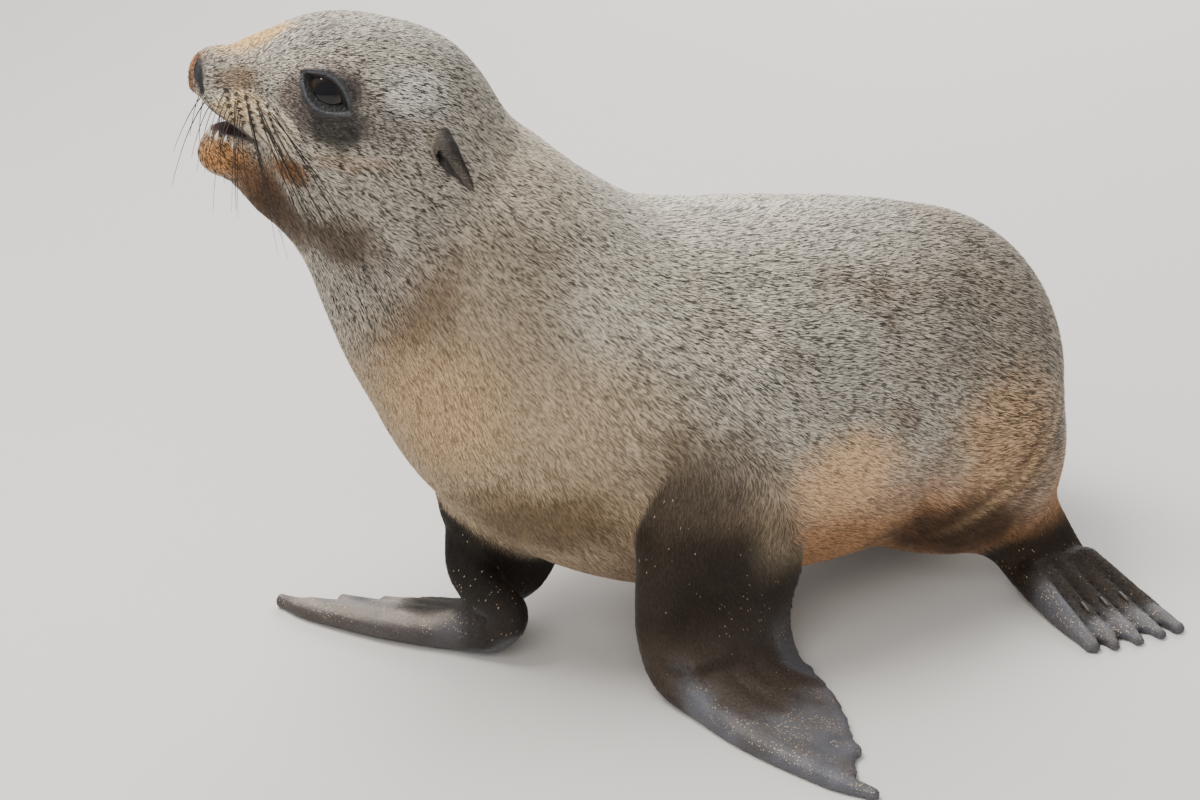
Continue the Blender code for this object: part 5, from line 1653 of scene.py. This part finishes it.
def add_camera():
    """the camera, at the photo's angle"""
    data = bpy.data.cameras.new("camera")
    data.sensor_width = 36.0
    data.lens = CAMERA_LENS
    data.clip_end = 20
    target = np.array((0, 0, AIM_HEIGHT)) + SHIFT
    bpy.context.scene.camera = aimed("camera", data, target, CAMERA_TURN, CAMERA_RISE,
                                     CAMERA_DISTANCE)


def add_room():
    """floor, sky and lights"""
    mesh = bpy.data.meshes.new("floor")
    ends = [(-1, -1), (1, -1), (1, 1), (-1, 1)]
    mesh.from_pydata([(FLOOR_SIZE * x, FLOOR_SIZE * y, 0) for x, y in ends], [], [(0, 1, 2, 3)])
    mesh.materials.append(material("floor_pale", floor_look))
    made = linked("floor", mesh)
    made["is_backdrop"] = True
    world = bpy.data.worlds.new("room")
    world.use_nodes = True
    sky = world.node_tree.nodes["Background"]
    feed(world.node_tree, sky, {"Color": SKY, "Strength": SKY_STRENGTH})
    bpy.context.scene.world = world
    for name, turn, rise, distance, size, power, colour, glossy in LIGHTS:
        data = bpy.data.lights.new(name, "AREA")
        data.size = size
        data.energy = power
        data.color = colour
        light = aimed(name, data, np.array((0, 0, 0.1)), turn, rise, distance)
        light.visible_glossy = glossy


FLESH = ["head", "jaw", "neck", "trunk", "hindquarters", "tail", "forearm_left",
         "forearm_right", "fore_flipper_left", "fore_flipper_right", "hind_leg_left",
         "hind_leg_right", "hind_flipper_left", "hind_flipper_right", "ear_left", "ear_right"]


def corners():
    """the shown model's lowest and highest corner as plain lists"""
    return [[float(value) for value in corner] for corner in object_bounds()]


def main():
    """room, skin, coat, eyes, claws, teeth and whiskers"""
    add_camera()
    add_room()
    vertices, quads = skin_mesh()
    normals = vertex_normals(vertices, quads)
    ground = Ground(vertices, normals)
    furred = (1 - ground.bare)[:, None]
    skin = mesh_object("skin", vertices, quads, ground.colour() * (1 - 0.45 * furred))
    set_value(skin.data, "bare", ground.bare)
    sandy = ground.bare * (ground.points[:, 2] < 0.04) * ramp(normals[:, 2], 0.0, 0.5)
    set_value(skin.data, "sandy", sandy)
    skin.data.materials.append(material("seal_skin", skin_look))
    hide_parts(*FLESH)
    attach(skin, "root")
    fur = material("coat_fur", coat_look)
    for piece in coat_pieces(vertices, quads, normals, ground):
        piece.data.materials.append(fur)
        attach(piece, "root")
    wet = material("seal_eye", eye_look)
    horn = material("claw", horn_look(0.42, 0.75, 1.2, 900.0))
    for side, name in SIDES:
        eye = eyeball(side, name)
        eye.data.materials.append(wet)
        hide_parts("eye_" + name)
        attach(eye, "root")
        for nail, node in claws(side, name):
            nail.data.materials.append(horn)
            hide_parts(node)
            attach(nail, "root")
    bite = teeth()
    bite.data.materials.append(material("tooth", horn_look(0.25, 0.85, 1.05, 600.0)))
    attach(bite, "root")
    hair = material("whisker", horn_look(0.40, 0.8, 1.2, 300.0))
    rng = np.random.default_rng(3)
    for piece in [whiskers(side, name, rng) for side, name in SIDES]:
        piece.data.materials.append(hair)
        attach(piece, "root")


for old in list(bpy.data.objects):
    bpy.data.objects.remove(old, do_unlink=True)
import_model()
low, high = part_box("eye_left")
SHIFT = np.array((low + high) / 2) - head_to_body(EYE)
main()
